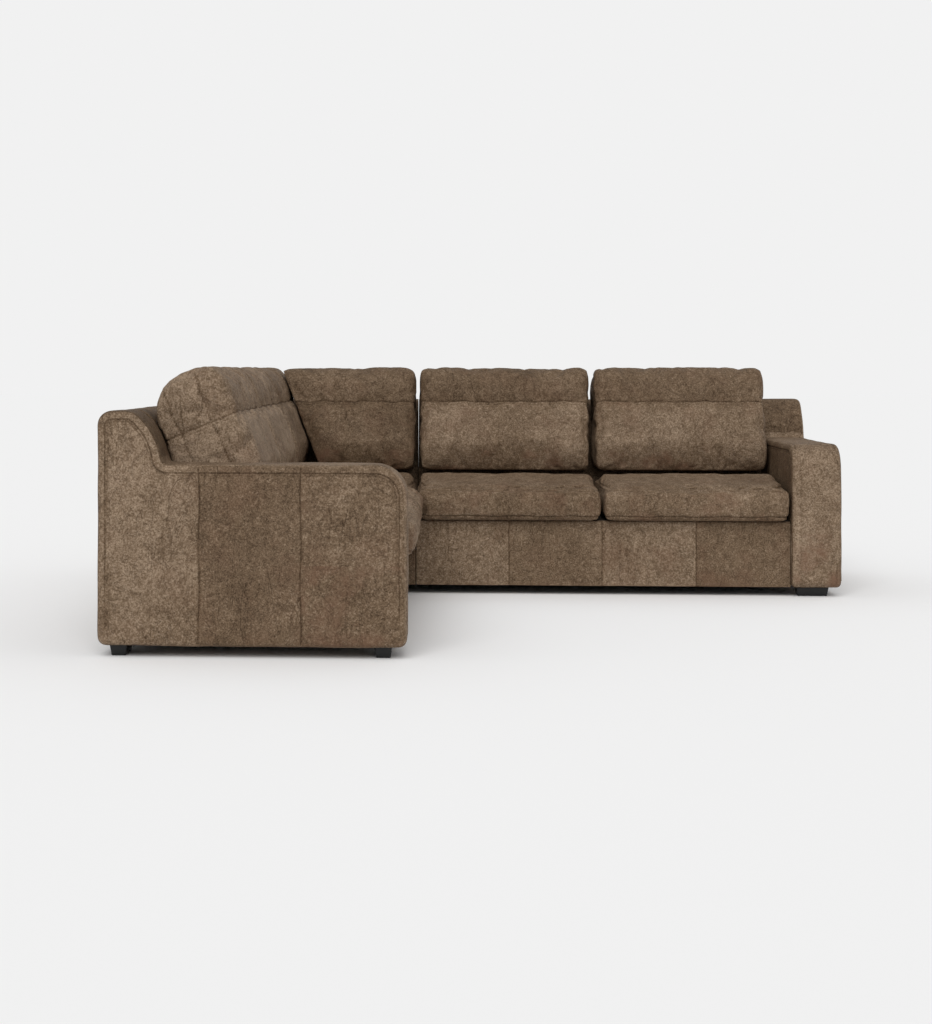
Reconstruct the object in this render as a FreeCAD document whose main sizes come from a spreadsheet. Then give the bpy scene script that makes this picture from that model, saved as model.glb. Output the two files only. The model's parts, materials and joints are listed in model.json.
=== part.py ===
import FreeCAD, Part
import math
import os
import re

import Sketcher

# Corner sofa in leather: two two-seat modules and a square corner module, hooked together.
# Millimetres, +Z up. The origin is under the middle of the square that the sofa fills, on the floor.
# The back run lies along +Y and has its arm at +X. The left run is its mirror image across the
# diagonal of the corner, so it follows the back run's sizes. In the sketches a depth is measured
# forward from the outer back of the sofa, and a height from the floor.

SIZES = [
    ("run_long", 2650, "length of each run, outer back corner to arm"),
    ("module_deep", 970, "depth of a module, outer back to arm front"),
    ("joint_gap", 1.5, "half of the gap between two modules"),
    ("arm_thick", 195, "arm, outer side to inner side"),
    ("arm_high", 603, "arm top above the floor"),
    ("arm_round", 100, "radius of the arm's front top corner"),
    ("side_round", 36, "rounding of the band where it meets the arm's sides"),
    ("hem_round", 28, "radius of the arm's bottom corners"),
    ("wing_deep", 201, "depth of the wing at the arm's level"),
    ("wing_bulge", 18, "how far the wing's front edge bows out"),
    ("notch_round", 20, "radius between the wing and the arm top"),
    ("back_high", 770, "top of the back frame"),
    ("back_round", 45, "radius of the back frame's rear top edge"),
    ("crest_deep", 112, "depth at which the top turns down to the front"),
    ("crest_low", 737, "height at which the raked inner back begins"),
    ("crest_front", 148, "depth of the inner back at that height"),
    ("crest_bulge", 7, "how far the crest's front edge bows out"),
    ("rake_angle", 22.5, "lean of the inner back and of the back cushions"),
    ("foot_high", 36, "clear height under the covers"),
    ("foot_across", 142, "foot, across the arm"),
    ("foot_along", 72, "foot, along the arm"),
    ("foot_taper", 8, "how much narrower a foot is at the floor, each side"),
    ("foot_side", 35, "foot inset from the arm's outer side"),
    ("foot_front", 40, "foot inset from the arm's front"),
    ("foot_rear", 25, "foot inset from the outer back"),
    ("support_wide", 60, "side of a hidden support foot"),
    ("support_deep", 520, "depth at which the hidden front supports stand"),
    ("cover_thick", 3, "leather with its backing"),
    ("pad_thick", 18, "foam over the arm and back frames"),
    ("apron_inset", 30, "seat front behind the arm front"),
    ("apron_thick", 6, "padded leather on the seat front"),
    ("roll_deep", 18, "depth of the padded roll on the front rail"),
    ("roll_round", 9, "radius of the roll's front edge"),
    ("deck_high", 298, "top of the deck that the seat cushions lie on"),
    ("deck_thick", 10, "padded deck cloth"),
    ("dust_thick", 2, "cloth under the seat"),
    ("web_thick", 3, "elastic webbing"),
    ("web_wide", 60, "width of a webbing strap"),
    ("rail_thick", 22, "boards of the seat frame"),
    ("ply_thick", 18, "plywood of the arm panels and back ribs"),
    ("rib_stile", 75, "depth of a back rib below the seat"),
    ("rib_haunch", 210, "height at which a back rib starts to widen"),
    ("window_edge", 42, "wood left round a window in a rib or panel"),
    ("block_leg", 70, "leg of a triangular corner block"),
    ("hook_wide", 50, "connector plate width"),
    ("hook_high", 60, "connector plate height"),
    ("hook_thick", 1.4, "connector plate"),
    ("lay_gap", 0.3, "clearance between a cushion and what it lies on"),
    ("seat_gap", 1.5, "clearance at each side of a seat cushion"),
    ("seat_over", 20, "how far the seat cushion's foot stands out over the module's depth"),
    ("seat_band", 140, "height of the seat cushion's side band"),
    ("seat_crown", 34, "rise of the seat cushion's top over that band"),
    ("seat_round", 40, "radius of the seat cushion's lower edges"),
    ("crown_round", 50, "radius of its front top edge"),
    ("bow_out", 16, "how far its front bows out over its foot"),
    ("bow_round", 70, "radius of that bow"),
    ("cushion_wall", 26, "fibre wrap between a cushion's case and its foam slab"),
    ("back_foam", 170, "thickness of the back cushion's foam slab"),
    ("back_gap", 4, "clearance at each side of a back cushion"),
    ("lean_gap", 3, "clearance between a back cushion and the raked back"),
    ("heel_round", 44, "radius of the back cushion's lower edges"),
    ("crest_round", 120, "radius of its rear where it turns over the back"),
    ("top_round", 50, "radius of its top"),
    ("top_draw", 22.6, "how far its highest line lies behind the rake through the belly"),
    ("top_high", 911, "height of its highest line"),
    ("belly_round", 90, "radius of its front at the belly"),
    ("belly_deep", 503, "depth of the belly"),
    ("belly_high", 560, "height of the belly"),
    ("end_run", 46, "length over which a cushion's end is rounded"),
    ("end_draw", 34, "how far that end is drawn in"),
    ("corner_clear", 5, "room between the corner's back cushions and what they lean against"),
]
ALIASES = [row[0] for row in SIZES]
ALIAS_WORD = re.compile(r"\b(" + "|".join(ALIASES) + r")\b")
QUARTER_SAGITTA = 1 - math.cos(math.pi / 4)

doc = FreeCAD.newDocument("corner_sofa")
sheet = doc.addObject("Spreadsheet::Sheet", "sizes")
for row, (alias, value, note) in enumerate(SIZES, start=1):
    sheet.set("A%d" % row, note)
    sheet.set("B%d" % row, str(value))
    sheet.setAlias("B%d" % row, alias)
doc.recompute()

parts = []


def bound(text):
    """An expression whose bare size names point at the sheet."""
    return ALIAS_WORD.sub(r"sizes.\1", text)


def bind(thing, prop, text):
    thing.setExpression(prop, bound(text))


def number(text):
    """The present value of an expression."""
    return float(sheet.evalExpression(bound(text)))


# Places that many pieces share, as expressions of the sizes
HALF = "(run_long / 2)"
JOINT_X = "(module_deep - run_long / 2)"
ARM_X = "(run_long / 2 - arm_thick)"
ARM_HOLLOW = "(cover_thick + 0.55 * side_round)"
RAIL_LOW = "(foot_high + cover_thick)"
RAIL_TOP = "(deck_high - deck_thick - web_thick)"
APRON = "(module_deep - apron_inset)"
RAIL_FRONT = "(module_deep - apron_inset - apron_thick)"
FRAME_TOP = "(back_high - cover_thick - pad_thick)"
RAIL_REAR = "(rib_stile + rail_thick)"
SEAT_WIDE = "((run_long - module_deep - arm_thick) / 2)"


def rake_at(height, inset="0"):
    """Depth of the raked inner back at a height, moved into the back by an inset."""
    return ("(crest_front + (crest_low - (%s)) * tan(rake_angle * 1 deg) - (%s) / cos(rake_angle * 1 deg))"
            % (height, inset))


SEAT_FRONT = "(module_deep + seat_over)"
TOP_DEEP = "(belly_deep - (top_high - belly_high) * tan(rake_angle * 1 deg) - top_draw)"
WAIST_LOW = "(%s - 2 * rail_thick)" % RAIL_TOP
WAIST_REAR = rake_at("deck_high", "cover_thick + pad_thick + web_thick")


def quarter(radius):
    """Sagitta of a quarter round."""
    return "(%.6f * (%s))" % (QUARTER_SAGITTA, radius)


def plane(body, role):
    return [face for face in body.Origin.OriginFeatures if face.Role == role][0]


def new_body(name, x="0", y="0", z="0"):
    body = doc.addObject("PartDesign::Body", name)
    bind(body, "Placement.Base.x", x)
    bind(body, "Placement.Base.y", y)
    bind(body, "Placement.Base.z", z)
    return body


def new_sketch(body, name, role="YZ_Plane", offset=None):
    sketch = body.newObject("Sketcher::SketchObject", name)
    sketch.AttachmentSupport = [(plane(body, role), "")]
    sketch.MapMode = "FlatFace"
    if offset is not None:
        bind(sketch, "AttachmentOffset.Base.z", offset)
    return sketch


def outline(sketch, points):
    """Close a chain of lines and arcs, taken anticlockwise as (depth, height, bulge).

    A bulge is the sagitta of the arc to the next point, outward when positive. Every corner and
    radius is a driving constraint bound to the sheet. A depth runs against the sketch's own x.
    """
    corners = [FreeCAD.Vector(-number(point[0]), number(point[1]), 0) for point in points]
    ends = []
    for i, point in enumerate(points):
        start = corners[i]
        stop = corners[(i + 1) % len(points)]
        if len(point) == 2:
            edge = sketch.addGeometry(Part.LineSegment(start, stop), False)
            ends.append((edge, 1, 2))
            continue
        bulge = number(point[2])
        chord = stop - start
        outward = FreeCAD.Vector(-chord.y, chord.x, 0).normalize()
        middle = (start + stop) * 0.5 + outward * bulge
        edge = sketch.addGeometry(Part.Arc(start, middle, stop), False)
        ends.append((edge, 2, 1) if bulge > 0 else (edge, 1, 2))
    for i, (edge, start, stop) in enumerate(ends):
        after = ends[(i + 1) % len(ends)]
        sketch.addConstraint(Sketcher.Constraint("Coincident", edge, stop, after[0], after[1]))
    for i, (edge, start, stop) in enumerate(ends):
        point = points[i]
        after = points[(i + 1) % len(points)]
        drive(sketch, point[0], "DistanceX", edge, start, -1, 1)
        drive(sketch, point[1], "DistanceY", -1, 1, edge, start)
        if len(point) == 3:
            chord = "sqrt((%s - (%s))^2 + (%s - (%s))^2)" % (point[0], after[0], point[1], after[1])
            radius = "((%s)^2 / (8 * abs(%s)) + abs(%s) / 2)" % (chord, point[2], point[2])
            drive(sketch, radius, "Radius", edge)


def drive(sketch, text, kind, *places):
    """Add a driving constraint and bind its value."""
    made = sketch.addConstraint(Sketcher.Constraint(kind, *places, number(text)))
    bind(sketch, "Constraints[%d]" % made, text)


def pad(body, sketch, length):
    feature = body.newObject("PartDesign::Pad", sketch.Name + "_pad")
    feature.Profile = sketch
    bind(feature, "Length", length)
    return feature


def pocket(body, sketch, length):
    """Cut from the sketch plane towards +x."""
    feature = body.newObject("PartDesign::Pocket", sketch.Name + "_cut")
    feature.Profile = sketch
    feature.Reversed = True
    bind(feature, "Length", length)
    return feature


def loft(body, sketches):
    feature = body.newObject("PartDesign::AdditiveLoft", body.Name + "_loft")
    feature.Profile = sketches[0]
    feature.Sections = sketches[1:]
    feature.Ruled = True


def belt(sketch, rolls, inset):
    """Close a belt of tangent lines and arcs round rolls given as (depth, height, radius).

    The inset makes every roll smaller by as much, so that belts round one set of rolls are parallel.
    The rolls follow each other from the front foot to the rear and back over the top.
    """
    centres = [FreeCAD.Vector(-number(depth), number(height), 0) for depth, height, radius in rolls]
    radii = [number("%s - (%s)" % (radius, inset)) for depth, height, radius in rolls]
    normals = []
    for i, centre in enumerate(centres):
        after = (i + 1) % len(rolls)
        step = centres[after] - centre
        tilt = (radii[i] - radii[after]) / step.Length
        step.normalize()
        normals.append(step * tilt + FreeCAD.Vector(step.y, -step.x, 0) * math.sqrt(1 - tilt * tilt))
    arcs = []
    for i, centre in enumerate(centres):
        circle = Part.Circle(centre, FreeCAD.Vector(0, 0, 1), radii[i])
        start = math.atan2(normals[i - 1].y, normals[i - 1].x)
        stop = math.atan2(normals[i].y, normals[i].x)
        arcs.append(sketch.addGeometry(Part.ArcOfCircle(circle, start, stop), False))
    for i, arc in enumerate(arcs):
        after = (i + 1) % len(rolls)
        ends = (centres[i] + normals[i] * radii[i], centres[after] + normals[i] * radii[after])
        line = sketch.addGeometry(Part.LineSegment(*ends), False)
        sketch.addConstraint(Sketcher.Constraint("Tangent", arc, 2, line, 1))
        sketch.addConstraint(Sketcher.Constraint("Tangent", line, 2, arcs[after], 1))
    for arc, (depth, height, radius) in zip(arcs, rolls):
        drive(sketch, depth, "DistanceX", arc, 3, -1, 1)
        drive(sketch, height, "DistanceY", -1, 1, arc, 3)
        drive(sketch, "%s - (%s)" % (radius, inset), "Radius", arc)


def profile_body(name, outlines, length, x, y=HALF, z="0"):
    """A piece of one cross-section along x, with any windows."""
    body = new_body(name, x, y, z)
    sketch = new_sketch(body, name + "_section")
    for points in outlines:
        outline(sketch, points)
    pad(body, sketch, length)
    return body


def board(name, x0, x1, d0, d1, z0, z1):
    """A sawn board between two x, two depths behind the front of +Y and two heights."""
    box = doc.addObject("Part::Box", name)
    bind(box, "Length", "(%s) - (%s)" % (x1, x0))
    bind(box, "Width", "(%s) - (%s)" % (d1, d0))
    bind(box, "Height", "(%s) - (%s)" % (z1, z0))
    bind(box, "Placement.Base.x", x0)
    bind(box, "Placement.Base.y", "%s - (%s)" % (HALF, d1))
    bind(box, "Placement.Base.z", z0)
    return box


def mirrored(name, source):
    """The left run's copy: the source reflected across the sofa's diagonal."""
    mirror = doc.addObject("Part::Mirroring", name)
    mirror.Source = source
    mirror.Normal = FreeCAD.Vector(1, 1, 0)
    return mirror


def group(name, members):
    compound = doc.addObject("Part::Compound", name)
    compound.Links = members
    return compound


def joined(name, first, second):
    fuse = doc.addObject("Part::Fuse", name)
    fuse.Base = first
    fuse.Tool = second
    fuse.Refine = True
    return fuse


def sub_part(thing, label):
    thing.Label = label
    parts.append(thing)
    return thing


def both_sides(thing, label):
    """Register a right-hand piece and its mirrored left-hand twin."""
    sub_part(thing, "right_" + label)
    sub_part(mirrored(thing.Name + "_left", thing), "left_" + label)


# Arm with its wing

def arm_profile(inset):
    """Side view of the arm and wing, moved in by an inset above its hem."""
    low = "foot_high"
    hem = "(%s + hem_round)" % inset
    front = "max(arm_round; %s + 1)" % inset
    rear = "max(back_round; %s + 1)" % inset
    return [
        (hem, low),
        ("module_deep - " + hem, low, quarter("hem_round")),
        ("module_deep - (%s)" % inset, low + " + hem_round"),
        ("module_deep - (%s)" % inset, "arm_high - " + front, quarter("%s - (%s)" % (front, inset))),
        ("module_deep - " + front, "arm_high - (%s)" % inset),
        ("wing_deep + notch_round", "arm_high - (%s)" % inset,
         "-1 * " + quarter("notch_round + (%s)" % inset)),
        ("wing_deep - (%s)" % inset, "arm_high + notch_round", "wing_bulge"),
        ("crest_deep", "back_high - (%s)" % inset),
        (rear, "back_high - (%s)" % inset, quarter("%s - (%s)" % (rear, inset))),
        (inset, "back_high - " + rear),
        (inset, low + " + hem_round", quarter("hem_round")),
    ]


def arm_panel(inset):
    """The arm's side view with its rounds cut off straight, as its plywood and foam are."""
    return [
        (inset + " + hem_round", RAIL_LOW),
        ("module_deep - %s - hem_round" % inset, RAIL_LOW),
        ("module_deep - " + inset, RAIL_LOW + " + hem_round"),
        ("module_deep - " + inset, "arm_high - arm_round"),
        ("module_deep - arm_round", "arm_high - " + inset),
        ("wing_deep - " + inset, "arm_high - " + inset),
        ("crest_deep", "back_high - " + inset),
        ("max(back_round; %s + 1)" % inset, "back_high - " + inset),
        (inset, "back_high - max(back_round; %s + 1)" % inset),
        (inset, RAIL_LOW + " + hem_round"),
    ]


def arm_cover():
    """Leather sleeve round the arm: side panels sewn to a rounded band, lofted across and hollowed."""
    body = new_body("arm_cover", ARM_X, HALF)
    steps = [
        ("0", "0.55 * side_round"),
        ("0.8 * side_round", "0"),
        ("arm_thick - 0.8 * side_round", "0"),
        ("arm_thick", "0.55 * side_round"),
    ]
    sketches = []
    for index, (offset, inset) in enumerate(steps):
        sketches.append(new_sketch(body, "arm_section_%d" % index, offset=offset))
        outline(sketches[-1], arm_profile(inset))
    loft(body, sketches)
    hollow = new_sketch(body, "arm_hollow", offset="cover_thick")
    outline(hollow, arm_panel(ARM_HOLLOW))
    pocket(body, hollow, "arm_thick - 2 * cover_thick")
    return body


def arm_padding():
    """Foam between the leather and the arm frame, open below."""
    body = profile_body("arm_padding", [arm_panel("(%s + lay_gap)" % ARM_HOLLOW)],
                        "arm_thick - 2 * cover_thick - 2 * lay_gap", ARM_X + " + cover_thick + lay_gap")
    hollow = new_sketch(body, "arm_padding_hollow", offset="pad_thick - lay_gap")
    outline(hollow, arm_panel("(%s + pad_thick)" % ARM_HOLLOW))
    pocket(body, hollow, "arm_thick - 2 * (cover_thick + pad_thick)")
    return body


def arm_window():
    """Opening in the arm panels, which saves wood and takes the hand when they are carried."""
    return [
        ("wing_deep + window_edge", "foot_high + 3 * window_edge"),
        ("module_deep - arm_round - window_edge", "foot_high + 3 * window_edge"),
        ("module_deep - arm_round - window_edge", "arm_high - 3 * window_edge"),
        ("wing_deep + window_edge", "arm_high - 3 * window_edge"),
    ]


def arm_frame():
    """Two plywood panels in the arm's outline, held apart by boards."""
    inset = "(%s + pad_thick + lay_gap)" % ARM_HOLLOW
    side = "(cover_thick + pad_thick + lay_gap)"
    inner = ARM_X + " + " + side
    outer = HALF + " - " + side
    panel = [arm_panel(inset), arm_window()]
    between = (inner + " + ply_thick", outer + " - ply_thick")
    members = [
        profile_body("arm_panel_inner", panel, "ply_thick", inner),
        profile_body("arm_panel_outer", panel, "ply_thick", outer + " - ply_thick"),
        board("arm_top_board", *between, "wing_deep + notch_round + window_edge",
              "module_deep - arm_round", "arm_high - %s - ply_thick" % inset, "arm_high - " + inset),
        board("arm_front_board", *between, "module_deep - %s - ply_thick" % inset,
              "module_deep - " + inset, RAIL_LOW + " + hem_round", "arm_high - arm_round"),
        board("arm_foot_board", *between, inset + " + hem_round", "module_deep - %s - hem_round" % inset,
              RAIL_LOW, RAIL_LOW + " + rail_thick"),
        board("wing_board", *between, inset, inset + " + rail_thick",
              "back_high - back_round - 3 * window_edge", "back_high - back_round - window_edge"),
    ]
    return group("arm_frame", members)


# Back between the arm and the corner

def back_skin():
    """Section of the back's leather: down the outer back, over the top and down the raked inner back."""
    low = "(deck_high - deck_thick)"
    return [
        ("0", "foot_high"),
        ("cover_thick", "foot_high"),
        ("cover_thick", "back_high - back_round", "-1 * " + quarter("back_round - cover_thick")),
        ("back_round", "back_high - cover_thick"),
        ("crest_deep", "back_high - cover_thick", "-1 * crest_bulge"),
        ("crest_front - cover_thick / cos(rake_angle * 1 deg)", "crest_low"),
        (rake_at(low, "cover_thick"), low),
        (rake_at(low), low),
        ("crest_front", "crest_low", "crest_bulge"),
        ("crest_deep", "back_high"),
        ("back_round", "back_high", quarter("back_round")),
        ("0", "back_high - back_round"),
    ]


def back_foam():
    """Section of the foam over the top rail and down the raked inner back."""
    low = "(deck_high - deck_thick)"
    skin = "(cover_thick + lay_gap)"
    inner = "(cover_thick + pad_thick)"
    return [
        (skin, "back_high - 2 * back_round"),
        (skin + " + pad_thick / 2", "back_high - 2 * back_round"),
        (skin + " + pad_thick / 2", "back_high - back_round"),
        ("back_round", "back_high - " + inner),
        ("crest_deep - pad_thick", "back_high - " + inner),
        (rake_at("crest_low - pad_thick", inner), "crest_low - pad_thick"),
        (rake_at(low, inner), low),
        (rake_at(low, skin), low),
        ("crest_front - %s / cos(rake_angle * 1 deg)" % skin, "crest_low", "crest_bulge"),
        ("crest_deep", "back_high - " + skin),
        ("back_round", "back_high - " + skin, quarter("back_round - cover_thick")),
        (skin, "back_high - back_round"),
    ]


def rib_section():
    """Plywood back rib: a stile down to the rails that widens into the raked back."""
    face = "(cover_thick + pad_thick + web_thick)"
    rear = "(cover_thick + lay_gap + pad_thick / 2)"
    return [
        (rear, RAIL_LOW),
        ("rib_stile", RAIL_LOW),
        ("rib_stile", "rib_haunch"),
        (WAIST_REAR, WAIST_LOW),
        (WAIST_REAR, "deck_high"),
        (rake_at("crest_low - pad_thick", face), "crest_low - pad_thick"),
        ("crest_deep - pad_thick - web_thick", "%s - lay_gap" % FRAME_TOP),
        ("back_round", "%s - lay_gap" % FRAME_TOP),
        (rear, "back_high - back_round - lay_gap"),
    ]


def rib_window():
    """Tapered opening in a rib."""
    low = "(deck_high + window_edge)"
    high = "(crest_low - 3 * window_edge)"
    edge = "(pad_thick + 1.2 * window_edge)"
    return [
        ("window_edge + pad_thick / 2", low),
        (rake_at(low, edge), low),
        (rake_at(high, edge), high),
        ("window_edge + pad_thick / 2", high),
    ]


def rib(name, x):
    return profile_body(name, [rib_section(), rib_window()], "ply_thick", x)


def top_rail(name, x0, x1):
    """Board let in between the ribs, under the crest."""
    return board(name, x0, x1, "back_round", "crest_deep - pad_thick - web_thick",
                 "%s - lay_gap - rail_thick" % FRAME_TOP, "%s - lay_gap" % FRAME_TOP)


def waist_rail(name, x0, x1):
    """Board across the front of the ribs that carries the rear ends of the seat webbing."""
    return board(name, x0, x1, WAIST_REAR, WAIST_REAR + " + rail_thick", WAIST_LOW, RAIL_TOP)


def back_straps(name, x, count, pitch):
    """Webbing straps up the raked face of the ribs, spaced by a linear pattern."""
    low = RAIL_TOP + " + web_thick"
    high = "(crest_low - pad_thick)"
    front = "(cover_thick + pad_thick)"
    section = [
        (rake_at(low, front + " + web_thick"), low),
        (rake_at(low, front), low),
        (rake_at(high, front), high),
        (rake_at(high, front + " + web_thick"), high),
    ]
    return strap_row(name, section, x, count, pitch)


def strap_row(name, section, x, count, pitch):
    """Straps of one section, repeated along x."""
    body = profile_body(name, [section], "web_wide", x)
    body.AllowCompound = True
    pattern = body.newObject("PartDesign::LinearPattern", name + "_row")
    pattern.Originals = [body.Tip]
    pattern.Direction = (plane(body, "X_Axis"), [""])
    pattern.Occurrences = count
    bind(pattern, "Length", "%d * (%s)" % (count - 1, pitch))
    body.Tip = pattern
    return body


RUN_START = JOINT_X + " + joint_gap"
RUN_STOP = ARM_X + " - lay_gap"
RUN_LONG = "(%s - (%s))" % (RUN_STOP, RUN_START)


def back_frame():
    """Four ribs, the top rails let in between them and the waist rail across their front."""
    first = "%s + rail_thick" % RUN_START
    pitch = "((%s - 2 * rail_thick - ply_thick) / 3)" % RUN_LONG
    members = [waist_rail("back_waist_rail", first, RUN_STOP + " - rail_thick")]
    for index in range(4):
        members.append(rib("back_rib_%d" % index, "%s + %d * %s" % (first, index, pitch)))
    for index in range(3):
        members.append(top_rail("back_top_rail_%d" % index,
                                "%s + %d * %s + ply_thick" % (first, index, pitch),
                                "%s + %d * %s" % (first, index + 1, pitch)))
    return group("back_frame", members)


# Seat base

def seat_frame():
    """Boards of the two-seat base, with glued corner blocks."""
    start = RUN_START
    stop = RUN_STOP
    middle = "((%s + %s) / 2)" % (RUN_START, RUN_STOP)
    inside = ("rib_stile + rail_thick", "%s - rail_thick" % RAIL_FRONT)
    high = (RAIL_LOW, RAIL_TOP)
    low = (RAIL_LOW, "rib_haunch")
    members = [
        board("front_rail", start, stop, "%s - rail_thick" % RAIL_FRONT, RAIL_FRONT, *high),
        board("rear_rail", start, stop, "rib_stile", "rib_stile + rail_thick", *low),
        board("joint_rail", start, start + " + rail_thick", *inside, *high),
        board("arm_rail", stop + " - rail_thick", stop, *inside, *high),
        board("middle_rail", middle + " - rail_thick / 2", middle + " + rail_thick / 2", *inside, *low),
    ]
    left = start + " + rail_thick"
    right = stop + " - rail_thick"
    members += [
        corner_block("block_rear_joint", left, "rib_stile + rail_thick", 1, 1),
        corner_block("block_rear_arm", right, "rib_stile + rail_thick", -1, 1),
        corner_block("block_front_joint", left, "%s - rail_thick" % RAIL_FRONT, 1, -1),
        corner_block("block_front_arm", right, "%s - rail_thick" % RAIL_FRONT, -1, -1),
    ]
    return group("seat_frame", members)


def corner_block(name, x, depth, way_x, way_depth):
    """Triangular block in the angle of two rails; the ways point from the angle into the seat."""
    body = new_body(name, x, "%s - (%s)" % (HALF, depth), RAIL_LOW)
    sketch = new_sketch(body, name + "_section", "XY_Plane")
    legs = [("0", "0"), ("%d * block_leg" % -way_x, "0"), ("0", "%d * block_leg" % -way_depth)]
    outline(sketch, legs)
    pad(body, sketch, "rib_haunch - " + RAIL_LOW)
    return body


def seat_straps(name, x, count, pitch, front):
    """Seat webbing, front to back, spaced by a linear pattern."""
    top = RAIL_TOP + " + web_thick"
    section = [(WAIST_REAR, RAIL_TOP), (front, RAIL_TOP), (front, top), (WAIST_REAR, top)]
    return strap_row(name, section, x, count, pitch)


def apron_section():
    """Seat front: a hem under the rail, the panel, and a padded roll over the rail's front edge."""
    return [
        (RAIL_FRONT + " - rail_thick", "foot_high"),
        (APRON, "foot_high"),
        (APRON, "deck_high - roll_round", quarter("roll_round")),
        (APRON + " - roll_round", "deck_high"),
        (APRON + " - roll_deep", "deck_high"),
        (APRON + " - roll_deep", RAIL_TOP),
        (RAIL_FRONT, RAIL_TOP),
        (RAIL_FRONT, RAIL_LOW),
        (RAIL_FRONT + " - rail_thick", RAIL_LOW),
    ]


def foot(name, x, depth, across, along):
    """Tapered block, wider at the top, placed by its outer rear corner at the top."""
    body = new_body(name, "%s + (%s) / 2" % (x, across), "%s - (%s) - (%s) / 2" % (HALF, depth, along))
    sketch = new_sketch(body, name + "_section", "XY_Plane")
    half_x = "((%s) / 2 - foot_taper)" % across
    half_y = "((%s) / 2 - foot_taper)" % along
    outline(sketch, [("-1 * " + half_x, "-1 * " + half_y), (half_x, "-1 * " + half_y),
                     (half_x, half_y), ("-1 * " + half_x, half_y)])
    block = pad(body, sketch, "foot_high")
    bind(block, "TaperAngle", "-1 * atan(foot_taper / foot_high)")
    return body


def support(name, x, depth):
    """Square foot under a rail, out of sight from the front."""
    return board(name, x, x + " + support_wide", depth, depth + " + support_wide",
                 "0", RAIL_LOW + " - dust_thick")


def two_seater():
    """Every fixed piece of the right-hand module and its twin in the left run."""
    both_sides(arm_cover(), "arm_cover")
    both_sides(arm_padding(), "arm_padding")
    both_sides(arm_frame(), "arm_frame")
    both_sides(profile_body("back_cover", [back_skin()], RUN_LONG, RUN_START), "back_cover")
    both_sides(profile_body("back_padding", [back_foam()], RUN_LONG, RUN_START), "back_padding")
    both_sides(back_frame(), "back_frame")
    span = "(%s - 2 * rail_thick - 2 * ply_thick - web_wide)" % RUN_LONG
    first = "%s + rail_thick + ply_thick" % RUN_START
    both_sides(back_straps("back_webbing", first, 8, span + " / 7"), "back_webbing")
    both_sides(profile_body("apron", [apron_section()], RUN_LONG, RUN_START), "seat_front_cover")
    both_sides(seat_frame(), "seat_frame")
    both_sides(seat_straps("seat_webbing", first, 9, span + " / 8", APRON + " - roll_deep"), "seat_webbing")
    both_sides(board("seat_deck", RUN_START, RUN_STOP, DECK_REAR, APRON + " - roll_deep",
                     "deck_high - deck_thick", "deck_high"), "seat_deck")
    both_sides(board("dust_cover", RUN_START, RUN_STOP, "rib_stile", RAIL_FRONT + " - rail_thick",
                     RAIL_LOW + " - dust_thick", RAIL_LOW), "dust_cover")
    foot_x = HALF + " - foot_side - foot_across"
    feet = [
        foot("front_foot", foot_x, "module_deep - foot_front - foot_along", "foot_across", "foot_along"),
        foot("rear_foot", foot_x, "foot_rear", "foot_across", "foot_along"),
        support("rear_support", RUN_START, RAIL_REAR),
        support("front_support", RUN_START, "support_deep - support_wide"),
    ]
    both_sides(group("feet", feet), "feet")


DECK_REAR = "(%s + lay_gap)" % rake_at("deck_high - deck_thick")
CORNER_X = "(-1 * run_long / 2)"


# Corner module

def corner_leg(name, section, room="0"):
    """One leg of the corner's back, ending in the mitre with some room to its twin."""
    body = new_body(name, CORNER_X, HALF)
    sketch = new_sketch(body, name + "_section")
    outline(sketch, section)
    pad(body, sketch, "module_deep - joint_gap")
    mitre = new_sketch(body, name + "_mitre", "XY_Plane")
    outline(mitre, [("0", room), ("0", "-1 * module_deep"), ("-1 * (module_deep + %s)" % room, "-1 * module_deep")])
    cut = body.newObject("PartDesign::Pocket", name + "_mitre_cut")
    cut.Profile = mitre
    cut.Reversed = True
    bind(cut, "Length", "back_high + back_round")
    return body


def corner_cover():
    """The corner's cover, in two halves that meet in the mitre seam."""
    half_cover = corner_leg("corner_back_cover_leg", back_skin(), "lay_gap")
    return group("corner_back_cover", [half_cover, mirrored("corner_back_cover_twin", half_cover)])


def corner_padding():
    leg = corner_leg("corner_back_padding_leg", back_foam())
    return joined("corner_back_padding", leg, mirrored("corner_back_padding_other_leg", leg))


def corner_frame():
    """Ribs, rails and post of the corner's two backs."""
    near = "%s + %s - ply_thick" % (CORNER_X, RAIL_FRONT)
    inner = "%s + %s + ply_thick" % (CORNER_X, rake_at("deck_high - block_leg"))
    waist = "%s + %s" % (CORNER_X, WAIST_REAR)
    joint = "%s + %s" % (CORNER_X, RAIL_FRONT)
    members = [
        rib("corner_rib_joint", near),
        rib("corner_rib_inner", inner),
        top_rail("corner_top_rail", inner + " + ply_thick", near),
    ]
    twins = [mirrored(member.Name + "_twin", member) for member in members]
    members.append(waist_rail("corner_waist_rail", waist, joint))
    side = waist_rail("corner_side_waist_rail", waist + " + rail_thick", joint)
    twins.append(mirrored("corner_side_waist_rail_twin", side))
    rear = "(cover_thick + lay_gap + pad_thick / 2)"
    post = board("corner_post", "%s + %s" % (CORNER_X, rear), "%s + rib_stile" % CORNER_X,
                 rear, "rib_stile", RAIL_LOW, "back_high - back_round - pad_thick")
    return group("corner_back_frame", members + twins + [post])


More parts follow.
